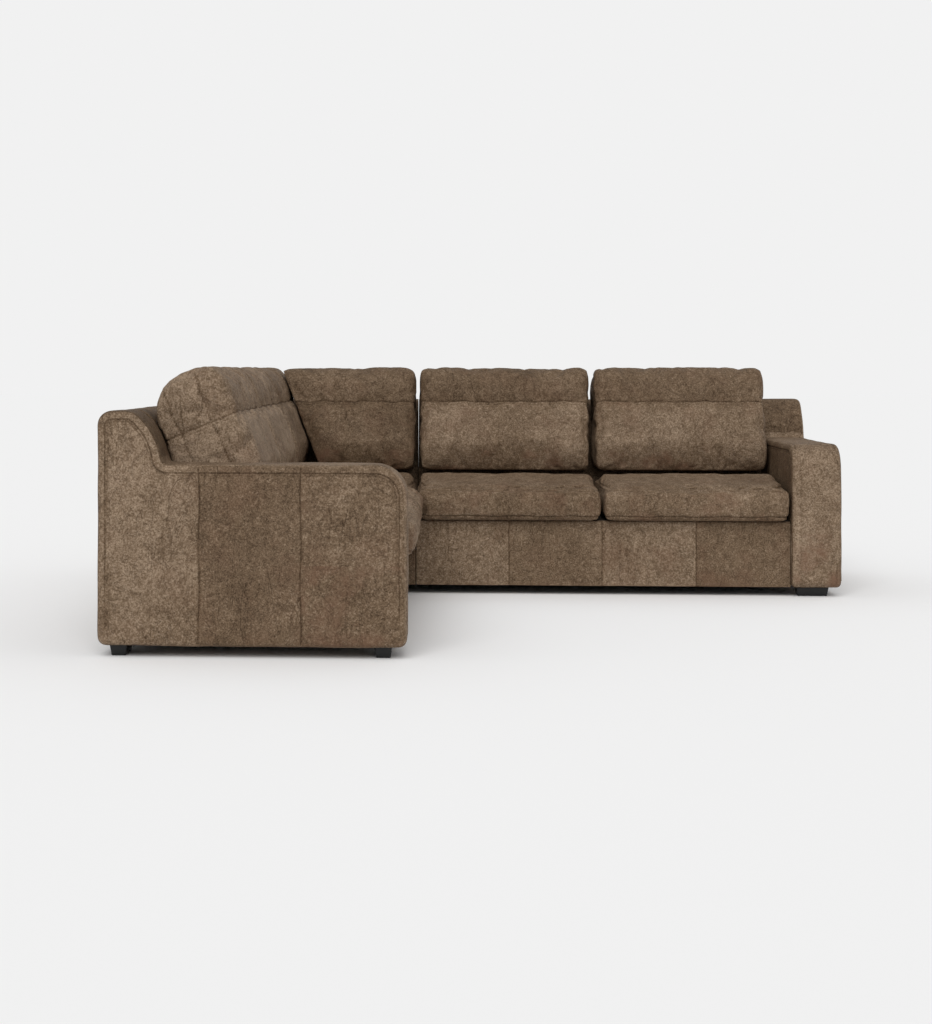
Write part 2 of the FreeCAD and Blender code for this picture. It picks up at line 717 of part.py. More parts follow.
def corner_seat_frame():
    """Boards of the corner base; the joint rails are thick enough to reach past the seat fronts."""
    low = (RAIL_LOW, "rib_haunch")
    high = (RAIL_LOW, RAIL_TOP)
    far = "(module_deep - joint_gap)"
    members = [
        board("corner_rear_rail", "%s + rib_stile" % CORNER_X, "%s + %s" % (CORNER_X, RAIL_FRONT),
              "rib_stile", "rib_stile + rail_thick", *low),
        board("corner_side_rail", "%s + rib_stile" % CORNER_X, "%s + rib_stile + rail_thick" % CORNER_X,
              "rib_stile + rail_thick", RAIL_FRONT, *low),
        board("corner_joint_rail", "%s + %s" % (CORNER_X, RAIL_FRONT), "%s + %s" % (CORNER_X, far),
              "rib_stile", RAIL_FRONT, *high),
        board("corner_near_rail", "%s + rib_stile" % CORNER_X, "%s + %s" % (CORNER_X, RAIL_FRONT),
              RAIL_FRONT, far, *high),
        board("corner_inner_post", "%s + %s - 2 * rail_thick" % (CORNER_X, RAIL_FRONT),
              "%s + %s" % (CORNER_X, RAIL_FRONT), "%s - 2 * rail_thick" % RAIL_FRONT, RAIL_FRONT,
              *high),
        corner_block("corner_block_rear", "%s + rib_stile + rail_thick" % CORNER_X,
                     "rib_stile + rail_thick", 1, 1),
    ]
    return group("corner_seat_frame", members)


def corner_post_cover():
    """Leather angle at the inner corner, between the two seat fronts."""
    body = new_body("corner_angle", CORNER_X, HALF, "foot_high")
    sketch = new_sketch(body, "corner_angle_section", "XY_Plane")
    near = "(-1 * %s)" % RAIL_FRONT
    face = "(-1 * %s)" % APRON
    far = "(-1 * (module_deep - joint_gap))"
    outline(sketch, [(near, near), (near, far), (face, far), (face, face), (far, face), (far, near)])
    pad(body, sketch, "deck_high - foot_high")
    return body


def corner_module():
    """Every fixed piece of the corner."""
    sub_part(corner_cover(), "corner_back_cover")
    sub_part(corner_padding(), "corner_back_padding")
    sub_part(corner_frame(), "corner_back_frame")
    sub_part(corner_seat_frame(), "corner_seat_frame")
    sub_part(corner_post_cover(), "corner_front_cover")
    sub_part(corner_back_webbing(), "corner_back_webbing")
    first = "%s + %s + lay_gap" % (CORNER_X, rake_at("deck_high"))
    span = "(%s - %s - lay_gap - ply_thick - web_wide)" % (RAIL_FRONT, rake_at("deck_high"))
    webbing = seat_straps("corner_seat_webbing", first, 5, span + " / 4", "module_deep - joint_gap")
    sub_part(webbing, "corner_seat_webbing")
    sub_part(corner_deck(), "corner_seat_deck")
    sub_part(board("corner_dust", "%s + rib_stile" % CORNER_X, "%s + %s" % (CORNER_X, RAIL_FRONT),
                   "rib_stile", RAIL_FRONT, RAIL_LOW + " - dust_thick", RAIL_LOW), "corner_dust_cover")
    far = "%s - support_wide" % RAIL_FRONT
    feet = [
        support("corner_support", "%s + %s" % (CORNER_X, RAIL_REAR), RAIL_REAR),
        support("corner_support_rear", "%s + %s" % (CORNER_X, far), RAIL_REAR),
        support("corner_support_side", "%s + %s" % (CORNER_X, RAIL_REAR), far),
        support("corner_support_inner", "%s + %s" % (CORNER_X, far), far),
    ]
    sub_part(group("corner_feet", feet), "corner_feet")


def corner_back_webbing():
    """Straps on the ribs of both legs of the corner's back."""
    first = "%s + %s + 2 * ply_thick" % (CORNER_X, rake_at("deck_high - block_leg"))
    span = "(%s - ply_thick - web_wide - (%s) - %s)" % (RAIL_FRONT, first, "run_long / 2")
    leg = back_straps("corner_back_straps", first, 4, span + " / 3")
    return group("corner_back_webbing", [leg, mirrored("corner_back_straps_twin", leg)])


def corner_deck():
    """Deck cloth of the corner, notched at the inner corner."""
    body = new_body("corner_deck", CORNER_X, HALF, "deck_high - deck_thick")
    sketch = new_sketch(body, "corner_deck_outline", "XY_Plane")
    rear = "(-1 * %s)" % DECK_REAR
    front = "(-1 * %s)" % RAIL_FRONT
    far = "(-1 * (module_deep - joint_gap))"
    outline(sketch, [(rear, rear), (rear, far), (front, far), (front, front), (far, front), (far, rear)])
    pad(body, sketch, "deck_thick")
    return body


def connectors():
    """Steel plates that hook the modules together: hooks on the corner, catches on the two-seaters."""
    low = "(%s - 2 * hook_high)" % RAIL_TOP
    hooks = []
    catches = []
    for index, depth in enumerate((rake_at("deck_high"), APRON + " - rail_thick - 3 * hook_wide")):
        rear = "(%s)" % depth
        front = "(%s + hook_wide)" % depth
        slot = "(%s + 0.4 * hook_wide)" % depth
        step = "(%s + 0.6 * hook_wide)" % depth
        middle = "(%s + hook_high / 2)" % low
        top = "(%s + hook_high)" % low
        hook = [(rear, low), (slot, low), (slot, middle), (step, middle), (step, low),
                (front, low), (front, top), (rear, top)]
        catch = [(rear, low), (front, low), (front, top), (step, top), (step, middle),
                 (slot, middle), (slot, top), (rear, top)]
        hooks.append(profile_body("hook_%d" % index, [hook], "hook_thick", JOINT_X + " - joint_gap"))
        catches.append(profile_body("catch_%d" % index, [catch], "hook_thick",
                                    JOINT_X + " + joint_gap - hook_thick"))
    for name, plates in (("connector_hooks", hooks), ("connector_catches", catches)):
        twins = [mirrored(plate.Name + "_twin", plate) for plate in plates]
        sub_part(group(name, plates + twins), name)


# Cushions

SEAT_LOW = "(deck_high + lay_gap)"
SEAT_TOP = "(%s + seat_band + seat_crown)" % SEAT_LOW
SEAT_REAR = "(%s + lay_gap)" % rake_at("deck_high")
BACK_LOW = "(%s + lay_gap)" % SEAT_TOP


def seat_rolls(front):
    """Rolls of a seat cushion's section: flat below and on top."""
    return [
        (front + " - seat_round", SEAT_LOW + " + seat_round", "seat_round"),
        (SEAT_REAR + " + seat_round", SEAT_LOW + " + seat_round", "seat_round"),
        (SEAT_REAR + " + seat_round", SEAT_TOP + " - seat_round", "seat_round"),
        (front + " - crown_round", SEAT_TOP + " - crown_round", "crown_round"),
    ]


def back_rolls():
    """Rolls of a back cushion's section: level below, along the raked back, over its crest, and down the front."""
    heel = BACK_LOW + " + heel_round"
    crest = "(top_high - 1.2 * crest_round)"
    return [
        ("belly_deep - 0.14 * heel_round - heel_round", heel, "heel_round"),
        (rake_at(heel, "-1 * (heel_round + lean_gap)"), heel, "heel_round"),
        (rake_at(crest, "-1 * (crest_round + lean_gap)"), crest, "crest_round"),
        (TOP_DEEP, "top_high - top_round", "top_round"),
        ("belly_deep - belly_round", "belly_high", "belly_round"),
    ]


def seat_slab(front):
    """Section of a seat cushion's foam."""
    low = SEAT_LOW + " + cushion_wall"
    high = SEAT_TOP + " - cushion_wall"
    return [(SEAT_REAR + " + cushion_wall", low), (front + " - cushion_wall", low),
            (front + " - cushion_wall", high), (SEAT_REAR + " + cushion_wall", high)]


def back_slab():
    """Section of a back cushion's foam, leaning as the back does."""
    low = BACK_LOW + " + cushion_wall"
    rear = "-1 * cushion_wall"
    front = "-1 * (cushion_wall + back_foam)"
    return [(rake_at(low, rear), low), (rake_at(low, front), low),
            (rake_at("crest_low", front), "crest_low"), (rake_at("crest_low", rear), "crest_low")]


def cushion(name, x, wide, rolls, slab, core_start="end_run"):
    """A cushion's case, with rounded ends lofted along x, hollowed for its core, and the core."""
    case = new_body(name, x, HALF)
    ends = [("0", "end_draw"), ("0.22 * end_run", "0.36 * end_draw"), ("end_run", "0")]
    far_ends = [("(%s) - %s" % (wide, offset), inset) for offset, inset in reversed(ends)]
    sketches = []
    for index, (offset, inset) in enumerate(ends + far_ends):
        sketches.append(new_sketch(case, "%s_section_%d" % (name, index), offset=offset))
        belt(sketches[-1], rolls, inset)
    loft(case, sketches)
    core = new_body(name + "_core", x, HALF)
    long = "(%s) - end_run - (%s)" % (wide, core_start)
    for body, shape in ((case, pocket), (core, pad)):
        sketch = new_sketch(body, body.Name + "_foam", offset=core_start)
        outline(sketch, slab)
        shape(body, sketch, long)
    return case, core


def trim(body, role, points):
    """Cut a cushion flat where it presses against its neighbour, outside the points given as (x, y)."""
    sketch = new_sketch(body, body.Name + "_trim", role)
    outline(sketch, [("-1 * (%s)" % across, up) for across, up in points])
    cut = body.newObject("PartDesign::Pocket", body.Name + "_trim_cut")
    cut.Profile = sketch
    cut.Type = "ThroughAll"
    cut.Midplane = True


def cushions():
    """Seat and back cushions of the two runs."""
    seat_wide = "%s - 2 * seat_gap" % SEAT_WIDE
    back_wide = "%s - 2 * back_gap" % SEAT_WIDE
    bow = (SEAT_FRONT + " + bow_out - bow_round", SEAT_LOW + " + 0.6 * seat_band", "bow_round")
    for place, start in (("inner", JOINT_X), ("outer", "%s + %s" % (JOINT_X, SEAT_WIDE))):
        case, core = cushion(place + "_seat", start + " + seat_gap", seat_wide,
                             seat_rolls(SEAT_FRONT) + [bow], seat_slab(SEAT_FRONT))
        if place == "inner":
            edge = "(lay_gap - module_deep - seat_gap)"
            reach = "(seat_over + bow_out)"
            trim(case, "XY_Plane", [("0", edge), ("0", "%s - %s" % (edge, reach)),
                                    (reach, "%s - %s" % (edge, reach))])
        both_sides(case, place + "_seat_cushion")
        both_sides(core, place + "_seat_core")
        case, core = cushion(place + "_back", start + " + back_gap", back_wide, back_rolls(), back_slab())
        both_sides(case, place + "_back_cushion")
        both_sides(core, place + "_back_core")


def corner_cushions():
    """The corner's seat cushion and the two back cushions that stand on it, one against the other."""
    front = "(module_deep - seat_gap - lay_gap)"
    case, core = cushion("corner_seat", "%s + %s" % (CORNER_X, SEAT_REAR),
                         "%s - %s" % (front, SEAT_REAR), seat_rolls(front), seat_slab(front))
    sub_part(case, "corner_seat_cushion")
    sub_part(core, "corner_seat_core")
    stop = "(module_deep - back_gap)"
    start = "(%s + corner_clear)" % rake_at("crest_low")
    foot_at = "(%s + corner_clear)" % rake_at(BACK_LOW)
    case, core = cushion("corner_side", "%s + %s" % (CORNER_X, start), "%s - %s" % (stop, start),
                         back_rolls(), back_slab(), "end_run + %s - %s" % (foot_at, start))
    foot = "(%s - %s)" % (foot_at, start)
    trim(case, "XZ_Plane", [("-1", "%s - 1" % BACK_LOW), ("%s + 1" % foot, "%s - 1" % BACK_LOW), (foot, BACK_LOW),
                            ("0", "crest_low"), ("-1", "crest_low")])
    sub_part(mirrored("corner_side_case", case), "corner_left_back_cushion")
    sub_part(mirrored("corner_side_core_case", core), "corner_left_back_core")
    bend = "(belly_high + 0.4 * belly_round)"
    foot_at = "(belly_deep + corner_clear)"
    start = "(%s - (top_high - %s) * tan(rake_angle * 1 deg))" % (foot_at, bend)
    case, core = cushion("corner_rear", "%s + %s" % (CORNER_X, start), "%s - %s" % (stop, start),
                         back_rolls(), back_slab(), "end_run + (top_high - %s) * tan(rake_angle * 1 deg)" % BACK_LOW)
    foot = "((top_high - %s + 1) * tan(rake_angle * 1 deg))" % BACK_LOW
    trim(case, "XZ_Plane", [("-1", "%s - 1" % BACK_LOW), (foot, "%s - 1" % BACK_LOW), ("0", "top_high"),
                            ("-1", "top_high")])
    sub_part(case, "corner_back_cushion")
    sub_part(core, "corner_back_core")


two_seater()
corner_module()
connectors()
cushions()
corner_cushions()
doc.recompute()


def check():
    """Stop before anything is written if a feature failed or a sub-part is not sound."""
    failed = [thing.Name for thing in doc.Objects
              if "Invalid" in thing.State or "Error" in thing.State]
    bad = [thing.Label for thing in parts if thing.Shape.isNull() or not thing.Shape.isValid()]
    if failed or bad:
        raise RuntimeError("failed features: %s; unsound sub-parts: %s" % (failed, bad))


check()
os.makedirs("parts", exist_ok=True)
for thing in parts:
    thing.Shape.exportStep("parts/%s.step" % thing.Label)
print("wrote %d sub-parts" % len(parts))
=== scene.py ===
import json
import math

import bmesh
import bpy
from mathutils import Matrix, Vector, noise


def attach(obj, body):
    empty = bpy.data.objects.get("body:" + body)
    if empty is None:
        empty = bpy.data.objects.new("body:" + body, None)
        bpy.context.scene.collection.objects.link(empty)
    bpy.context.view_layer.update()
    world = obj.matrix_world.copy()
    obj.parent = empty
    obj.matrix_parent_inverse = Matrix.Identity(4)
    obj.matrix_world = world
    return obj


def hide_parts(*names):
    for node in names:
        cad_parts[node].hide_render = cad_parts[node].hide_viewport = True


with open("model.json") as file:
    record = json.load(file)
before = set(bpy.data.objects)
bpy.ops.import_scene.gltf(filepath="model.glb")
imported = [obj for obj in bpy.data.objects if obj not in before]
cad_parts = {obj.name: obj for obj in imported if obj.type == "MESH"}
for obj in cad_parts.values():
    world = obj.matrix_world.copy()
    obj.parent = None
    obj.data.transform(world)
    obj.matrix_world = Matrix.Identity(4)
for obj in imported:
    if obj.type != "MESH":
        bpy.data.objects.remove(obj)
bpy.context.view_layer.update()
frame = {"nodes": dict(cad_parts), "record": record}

bpy.ops.object.select_all(action="DESELECT")

half = 1.325  # half of the square that the sofa fills
armX = 1.13  # inner side of the arm
rake = math.radians(22.5)  # lean of the backs, from upright
rakeTan, rakeSin, rakeCos = math.tan(rake), math.sin(rake), math.cos(rake)
rakeStart = (0.148, 0.737)  # depth and height where the raked face begins

# The photograph's viewing angle
view = {
    "place": (-0.2433, -7.014, 0.8972),
    "turn": 0.0636,
    "lens": 64.72,
    "shift": (0.1363, -0.1384),
}
bpy.ops.object.camera_add(location=view["place"], rotation=(math.pi / 2, 0, view["turn"]))
camera = bpy.context.object
camera.data.lens = view["lens"]
camera.data.shift_x, camera.data.shift_y = view["shift"]
bpy.context.scene.camera = camera
print("camera set")


def newTree(name):
    material = bpy.data.materials.new(name)
    material.use_nodes = True
    return material, material.node_tree, material.node_tree.nodes["Principled BSDF"]


def node(tree, kind, **values):
    made = tree.nodes.new(kind)
    for key, value in values.items():
        if key in made.inputs:
            made.inputs[key].default_value = value
        else:
            setattr(made, key, value)
    return made


def link(tree, source, target):
    tree.links.new(source, target)


def maths(tree, operation, first, second=0.0, clamp=False):
    made = tree.nodes.new("ShaderNodeMath")
    made.operation = operation
    made.use_clamp = clamp
    for socket, value in zip(made.inputs, (first, second)):
        if isinstance(value, (int, float)):
            socket.default_value = value
        else:
            link(tree, value, socket)
    return made.outputs[0]


def band(tree, value, low, high, start=0.0, stop=1.0):
    made = tree.nodes.new("ShaderNodeMapRange")
    made.inputs["From Min"].default_value = low
    made.inputs["From Max"].default_value = high
    made.inputs["To Min"].default_value = start
    made.inputs["To Max"].default_value = stop
    link(tree, value, made.inputs["Value"])
    return made.outputs["Result"]


def noiseAt(tree, coords, scale, detail=2.0, rough=0.5, distort=0.0):
    made = node(tree, "ShaderNodeTexNoise", Scale=scale, Detail=detail, Roughness=rough, Distortion=distort)
    link(tree, coords, made.inputs["Vector"])
    return made.outputs["Fac"]


def thinLine(tree, value, width):
    # 1 where a noise crosses its middle, 0 beside it
    offMiddle = maths(tree, "ABSOLUTE", maths(tree, "SUBTRACT", value, 0.5))
    return band(tree, offMiddle, 0.0, width, 1.0, 0.0)


def weighted(tree, marks, weights):
    # Sum of the named marks, each times its weight
    total = None
    for name, weight in weights.items():
        share = maths(tree, "MULTIPLY", marks[name], weight)
        total = share if total is None else maths(tree, "ADD", total, share)
    return total


def mixColour(tree, factor, first, second):
    made = tree.nodes.new("ShaderNodeMix")
    made.data_type = "RGBA"
    link(tree, factor, made.inputs["Factor"])
    for socket, value in ((made.inputs[6], first), (made.inputs[7], second)):
        if isinstance(value, tuple):
            socket.default_value = (*value, 1)
        else:
            link(tree, value, socket)
    return made.outputs[2]


hide = {
    "light": (0.320, 0.235, 0.162),
    "middle": (0.140, 0.091, 0.053),
    "dark": (0.052, 0.029, 0.013),
    "red": (0.140, 0.072, 0.042),
    "noises": {  # scale, detail, roughness and distortion
        "cloud": (3.2, 3.0, 0.55, 0.6),
        "mottle": (17.0, 5.0, 0.62, 0.4),
        "speck": (190.0, 3.0, 0.65),
        "fine": (520.0, 2.0, 0.6),
        "flecks": (62.0, 4.0, 0.7, 0.8),
        "vein": (11.0, 5.0, 0.66, 1.6),
        "redness": (6.5, 3.0, 0.6),
        "sparse": (5.0, 2.0),
    },
    "creaseNoise": (9.24, 4.0, 0.6, 1.2),
    "creaseStretch": (1, 1, 0.22),
    "creaseWidth": 0.011,
    "veinWidth": 0.013,
    "pebbleScale": 330.0,
    # what each mark adds to the brightness, and to the height of the grain
    "bright": {"cloud": 0.60, "mottle": 0.40, "speck": 1.55, "flecks": 0.95, "fine": 0.70, "vein": -0.14},
    "relief": {"pebble": 0.35, "speck": 0.9, "mottle": 0.9, "flecks": 1.1, "vein": -0.5, "crease": -0.8},
    "level": -1.60,
    "creaseDark": 0.22,
    "seamDark": 0.42,
    "mostRed": 0.75,
    "roughness": (0.62, 0.78),
    "specular": 0.22,
    "grainDepth": 0.0024,
    "panelShift": (17.0, 31.0, 11.0),
}


def hideGroup():
    # One hide: cloudy dye, mottling, fine speckle, red tints, growth creases and a pebbled grain
    group = bpy.data.node_groups.new("hide", "ShaderNodeTree")
    for name, kind in (("Place", "Vector"), ("Tone", "Float"), ("Red", "Float"), ("Seam", "Float")):
        group.interface.new_socket(name, in_out="INPUT", socket_type="NodeSocket" + kind)
    for name, kind in (("Colour", "Color"), ("Height", "Float"), ("Rough", "Float")):
        group.interface.new_socket(name, in_out="OUTPUT", socket_type="NodeSocket" + kind)
    given = group.nodes.new("NodeGroupInput")
    result = group.nodes.new("NodeGroupOutput")
    place = given.outputs["Place"]
    marks = {name: noiseAt(group, place, *values) for name, values in hide["noises"].items()}
    marks["vein"] = thinLine(group, marks["vein"], hide["veinWidth"])
    tall = node(group, "ShaderNodeMapping", Scale=hide["creaseStretch"])
    link(group, place, tall.inputs["Vector"])
    crease = thinLine(group, noiseAt(group, tall.outputs[0], *hide["creaseNoise"]), hide["creaseWidth"])
    marks["crease"] = maths(group, "MULTIPLY", crease, band(group, marks["sparse"], 0.44, 0.60))
    pebble = node(group, "ShaderNodeTexVoronoi", Scale=hide["pebbleScale"], feature="SMOOTH_F1", Smoothness=0.6)
    link(group, place, pebble.inputs["Vector"])
    marks["pebble"] = pebble.outputs["Distance"]

    bright = maths(group, "ADD", weighted(group, marks, hide["bright"]), hide["level"])
    bright = maths(group, "ADD", bright, given.outputs["Tone"])
    bright = maths(group, "SUBTRACT", bright, maths(group, "MULTIPLY", marks["crease"], hide["creaseDark"]))
    seamShade = maths(group, "MULTIPLY", given.outputs["Seam"], hide["seamDark"])
    bright = maths(group, "SUBTRACT", bright, seamShade, True)
    low = mixColour(group, band(group, bright, 0.0, 0.5), hide["dark"], hide["middle"])
    colour = mixColour(group, band(group, bright, 0.5, 1.0), low, hide["light"])
    redness = band(group, marks["redness"], 0.50, 0.68, 0.0, hide["mostRed"])
    redness = maths(group, "MULTIPLY", redness, given.outputs["Red"], True)
    link(group, mixColour(group, redness, colour, hide["red"]), result.inputs["Colour"])
    link(group, weighted(group, marks, hide["relief"]), result.inputs["Height"])
    link(group, band(group, marks["mottle"], 0.3, 0.7, *hide["roughness"]), result.inputs["Rough"])
    return group


hideNodes = hideGroup()
toneZero = 0.5  # stored with every panel's tone, as a colour can't be negative


def leatherMaterial():
    material, tree, shader = newTree("mottledLeather")
    coords = tree.nodes.new("ShaderNodeTexCoord")
    panel = node(tree, "ShaderNodeAttribute", attribute_name="panel")
    seam = node(tree, "ShaderNodeAttribute", attribute_name="seam")
    split = tree.nodes.new("ShaderNodeSeparateColor")
    link(tree, panel.outputs["Color"], split.inputs[0])
    shift = node(tree, "ShaderNodeVectorMath", operation="ADD")  # every panel is cut from another place
    offset = tree.nodes.new("ShaderNodeCombineXYZ")
    for socket, gain in zip(offset.inputs, hide["panelShift"]):
        link(tree, maths(tree, "MULTIPLY", split.outputs["Green"], gain), socket)
    link(tree, coords.outputs["Object"], shift.inputs[0])
    link(tree, offset.outputs[0], shift.inputs[1])
    group = tree.nodes.new("ShaderNodeGroup")
    group.node_tree = hideNodes
    link(tree, shift.outputs[0], group.inputs["Place"])
    link(tree, maths(tree, "SUBTRACT", split.outputs["Red"], toneZero), group.inputs["Tone"])
    link(tree, split.outputs["Blue"], group.inputs["Red"])
    link(tree, seam.outputs["Fac"], group.inputs["Seam"])
    link(tree, group.outputs["Colour"], shader.inputs["Base Color"])
    link(tree, group.outputs["Rough"], shader.inputs["Roughness"])
    bump = node(tree, "ShaderNodeBump", Strength=0.8, Distance=hide["grainDepth"])
    link(tree, group.outputs["Height"], bump.inputs["Height"])
    link(tree, bump.outputs["Normal"], shader.inputs["Normal"])
    shader.inputs["Specular IOR Level"].default_value = hide["specular"]
    return material


def plainMaterial(name, light, dark, scale, rough, stretch=(1, 1, 1)):
    # Grain or weave of one fine noise between two colours
    material, tree, shader = newTree(name)
    coords = tree.nodes.new("ShaderNodeTexCoord")
    mapping = node(tree, "ShaderNodeMapping", Scale=stretch)
    link(tree, coords.outputs["Object"], mapping.inputs["Vector"])
    grain = noiseAt(tree, mapping.outputs[0], scale, 4.0, 0.6, 0.3)
    link(tree, mixColour(tree, band(tree, grain, 0.3, 0.7), dark, light), shader.inputs["Base Color"])
    link(tree, band(tree, grain, 0.2, 0.8, rough - 0.08, rough + 0.08), shader.inputs["Roughness"])
    bump = node(tree, "ShaderNodeBump", Strength=0.6, Distance=0.0004)
    link(tree, grain, bump.inputs["Height"])
    link(tree, bump.outputs["Normal"], shader.inputs["Normal"])
    shader.inputs["Specular IOR Level"].default_value = 0.4
    return material


leather = leatherMaterial()
stuffs = {  # name, light colour, dark colour, scale of the grain, roughness and the grain's direction
    "wood": ("sawnWood", (0.58, 0.42, 0.25), (0.40, 0.27, 0.14), 14.0, 0.75, (1, 1, 9)),
    "feet": ("blackLacquer", (0.012, 0.012, 0.012), (0.005, 0.005, 0.005), 60.0, 0.45, (1, 1, 6)),
    "foam": ("foam", (0.80, 0.76, 0.62), (0.70, 0.66, 0.52), 300.0, 0.9),
    "webbing": ("elasticWebbing", (0.05, 0.05, 0.055), (0.02, 0.02, 0.022), 420.0, 0.85),
    "deck_cloth": ("deckCloth", (0.062, 0.046, 0.033), (0.035, 0.026, 0.018), 700.0, 0.9),
    "dust_cloth": ("dustCloth", (0.012, 0.012, 0.012), (0.006, 0.006, 0.006), 800.0, 0.95),
    "steel": ("zincPlate", (0.62, 0.62, 0.60), (0.50, 0.50, 0.48), 40.0, 0.35),
}
slotLooks = {slotName: plainMaterial(*values) for slotName, values in stuffs.items()}
slotLooks["steel"].node_tree.nodes["Principled BSDF"].inputs["Metallic"].default_value = 1.0
slotLooks["leather"] = leather
for part in frame["record"]["subparts"]:
    cadNode = frame["nodes"][part["node"]]
    cadNode.data.materials.clear()
    cadNode.data.materials.append(slotLooks[part["material_slot"]])
print("materials made")


def rakeDepth(height):
    return rakeStart[0] + (rakeStart[1] - height) * rakeTan


def editMode(on):
    bpy.ops.object.mode_set(mode="EDIT" if on else "OBJECT")


def only(piece):
    bpy.ops.object.select_all(action="DESELECT")
    piece.select_set(True)
    bpy.context.view_layer.objects.active = piece


def pick(piece, kind, test):
    # Select edges by a test on their two ends, or faces by one on their middle and normal
    bpy.ops.mesh.select_mode(type=kind)
    bpy.ops.mesh.select_all(action="DESELECT")
    mesh = bmesh.from_edit_mesh(piece.data)
    for element in mesh.edges if kind == "EDGE" else mesh.faces:
        if kind == "EDGE":
            hit = test(element.verts[0].co, element.verts[1].co)
        else:
            hit = test(element.calc_center_median(), element.normal)
        element.select_set(bool(hit))
    mesh.select_flush_mode()
    bmesh.update_edit_mesh(piece.data)


def cutAt(piece, axis, places):
    # Plane cuts through the whole piece, across one axis
    normal = [0, 0, 0]
    normal[axis] = 1
    for value in places:
        bpy.ops.mesh.select_all(action="SELECT")
        spot = [0, 0, 0]
        spot[axis] = value
        bpy.ops.mesh.bisect(plane_co=spot, plane_no=normal)


def turnOut():
    bpy.ops.mesh.select_all(action="SELECT")
    bpy.ops.mesh.normals_make_consistent(inside=False)


def arcPoints(centre, radius, start, stop, count):
    made = []
    for step in range(count + 1):
        angle = math.radians(start + (stop - start) * step / count)
        made.append((centre[0] + radius * math.cos(angle), centre[1] + radius * math.sin(angle)))
    return made


def profileRing(name, points, x0, fill):
    # A closed profile of (depth, height) points across the run, drawn from a circle
    bpy.ops.mesh.primitive_circle_add(vertices=len(points), fill_type=fill)
    piece = bpy.context.object
    piece.name = name
    for vertex, (depth, height) in zip(piece.data.vertices, points):
        vertex.co = (x0, half - depth, height)
    return piece


def extrudeAlong(length):
    bpy.ops.mesh.select_all(action="SELECT")
    bpy.ops.mesh.extrude_region_move(TRANSFORM_OT_translate={"value": (length, 0, 0)})


def profileBlock(name, points, x0, x1):
    piece = profileRing(name, points, x0, "NGON")
    editMode(True)
    extrudeAlong(x1 - x0)
    turnOut()
    editMode(False)
    return piece


def bevelEdges(piece, test, offset, segments):
    editMode(True)
    pick(piece, "EDGE", test)
    bpy.ops.mesh.bevel(offset=offset, segments=segments, profile=0.5, clamp_overlap=True)
    editMode(False)


def around(value, width=0.0028):
    return (value - width, value, value + width)


def groove(distance, width=0.0036):
    # 1 on a seam's line, falling to 0 at its width
    return max(0.0, 1 - abs(distance) / width)


def roughen(piece, amount, scale, seed, hold=None):
    # Slow unevenness of stuffed leather, along the normals
    mesh = piece.data
    normals = [vertex.normal.copy() for vertex in mesh.vertices]
    for vertex, normal in zip(mesh.vertices, normals):
        spot = vertex.co * scale + Vector((seed, seed * 0.7, -seed))
        push = noise.noise(spot) + 0.5 * noise.noise(spot * 2.3)
        if hold is None or hold(vertex.co):
            vertex.co += normal * push * amount


def sew(piece, seam, depth):
    # Press seam lines in; the seam is a test on a vertex's place that gives 0 to 1
    mesh = piece.data
    attribute = mesh.attributes.new("seam", "FLOAT", "POINT")
    normals = [vertex.normal.copy() for vertex in mesh.vertices]
    for index, vertex in enumerate(mesh.vertices):
        amount = seam(vertex.co, normals[index])
        attribute.data[index].value = amount
        vertex.co -= normals[index] * depth * amount


def paint(piece, chooser):
    # Panel tone, place on the hide and redness of each face, as a corner colour
    mesh = piece.data
    attribute = mesh.color_attributes.new("panel", "FLOAT_COLOR", "CORNER")
    for polygon in mesh.polygons:
        tone, seed, red = chooser(polygon.center, polygon.normal)
        for corner in polygon.loop_indices:
            attribute.data[corner].color = (tone + toneZero, seed, red, 1)


def finishPiece(piece, material, levels=1):
    only(piece)
    piece.data.materials.clear()
    piece.data.materials.append(material)
    if levels:
        modifier = piece.modifiers.new("smooth", "SUBSURF")
        modifier.levels = modifier.render_levels = levels
        bpy.ops.object.modifier_apply(modifier=modifier.name)
    bpy.ops.object.shade_smooth()
    return piece


def twinOf(piece, name, paintedLight=0.0):
    # The left run's copy, reflected across the corner's diagonal, its tones raised by painted light where an amount
    # is given
    copy = piece.copy()
    copy.data = piece.data.copy()
    copy.name = name
    bpy.context.scene.collection.objects.link(copy)
    copy.data.transform(Matrix(((0, -1, 0, 0), (-1, 0, 0, 0), (0, 0, 1, 0), (0, 0, 0, 1))))
    copy.data.flip_normals()
    tones = copy.data.color_attributes.get("panel")
    if tones:
        for corner in tones.data:
            tone, seed, red, whole = corner.color
            corner.color = (tone + paintedLight, (seed + 0.37) % 1, red, whole)
    return copy


def register(piece, body, nodes):
    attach(piece, body)
    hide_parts(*nodes)


def registerPair(right, left, slotName, *endings):
    # Both runs' copies of a fixed piece, each standing for its side's CAD nodes
    for piece, side in ((right, "right"), (left, "left")):
        register(piece, "sofa", [side + ending for ending in endings])


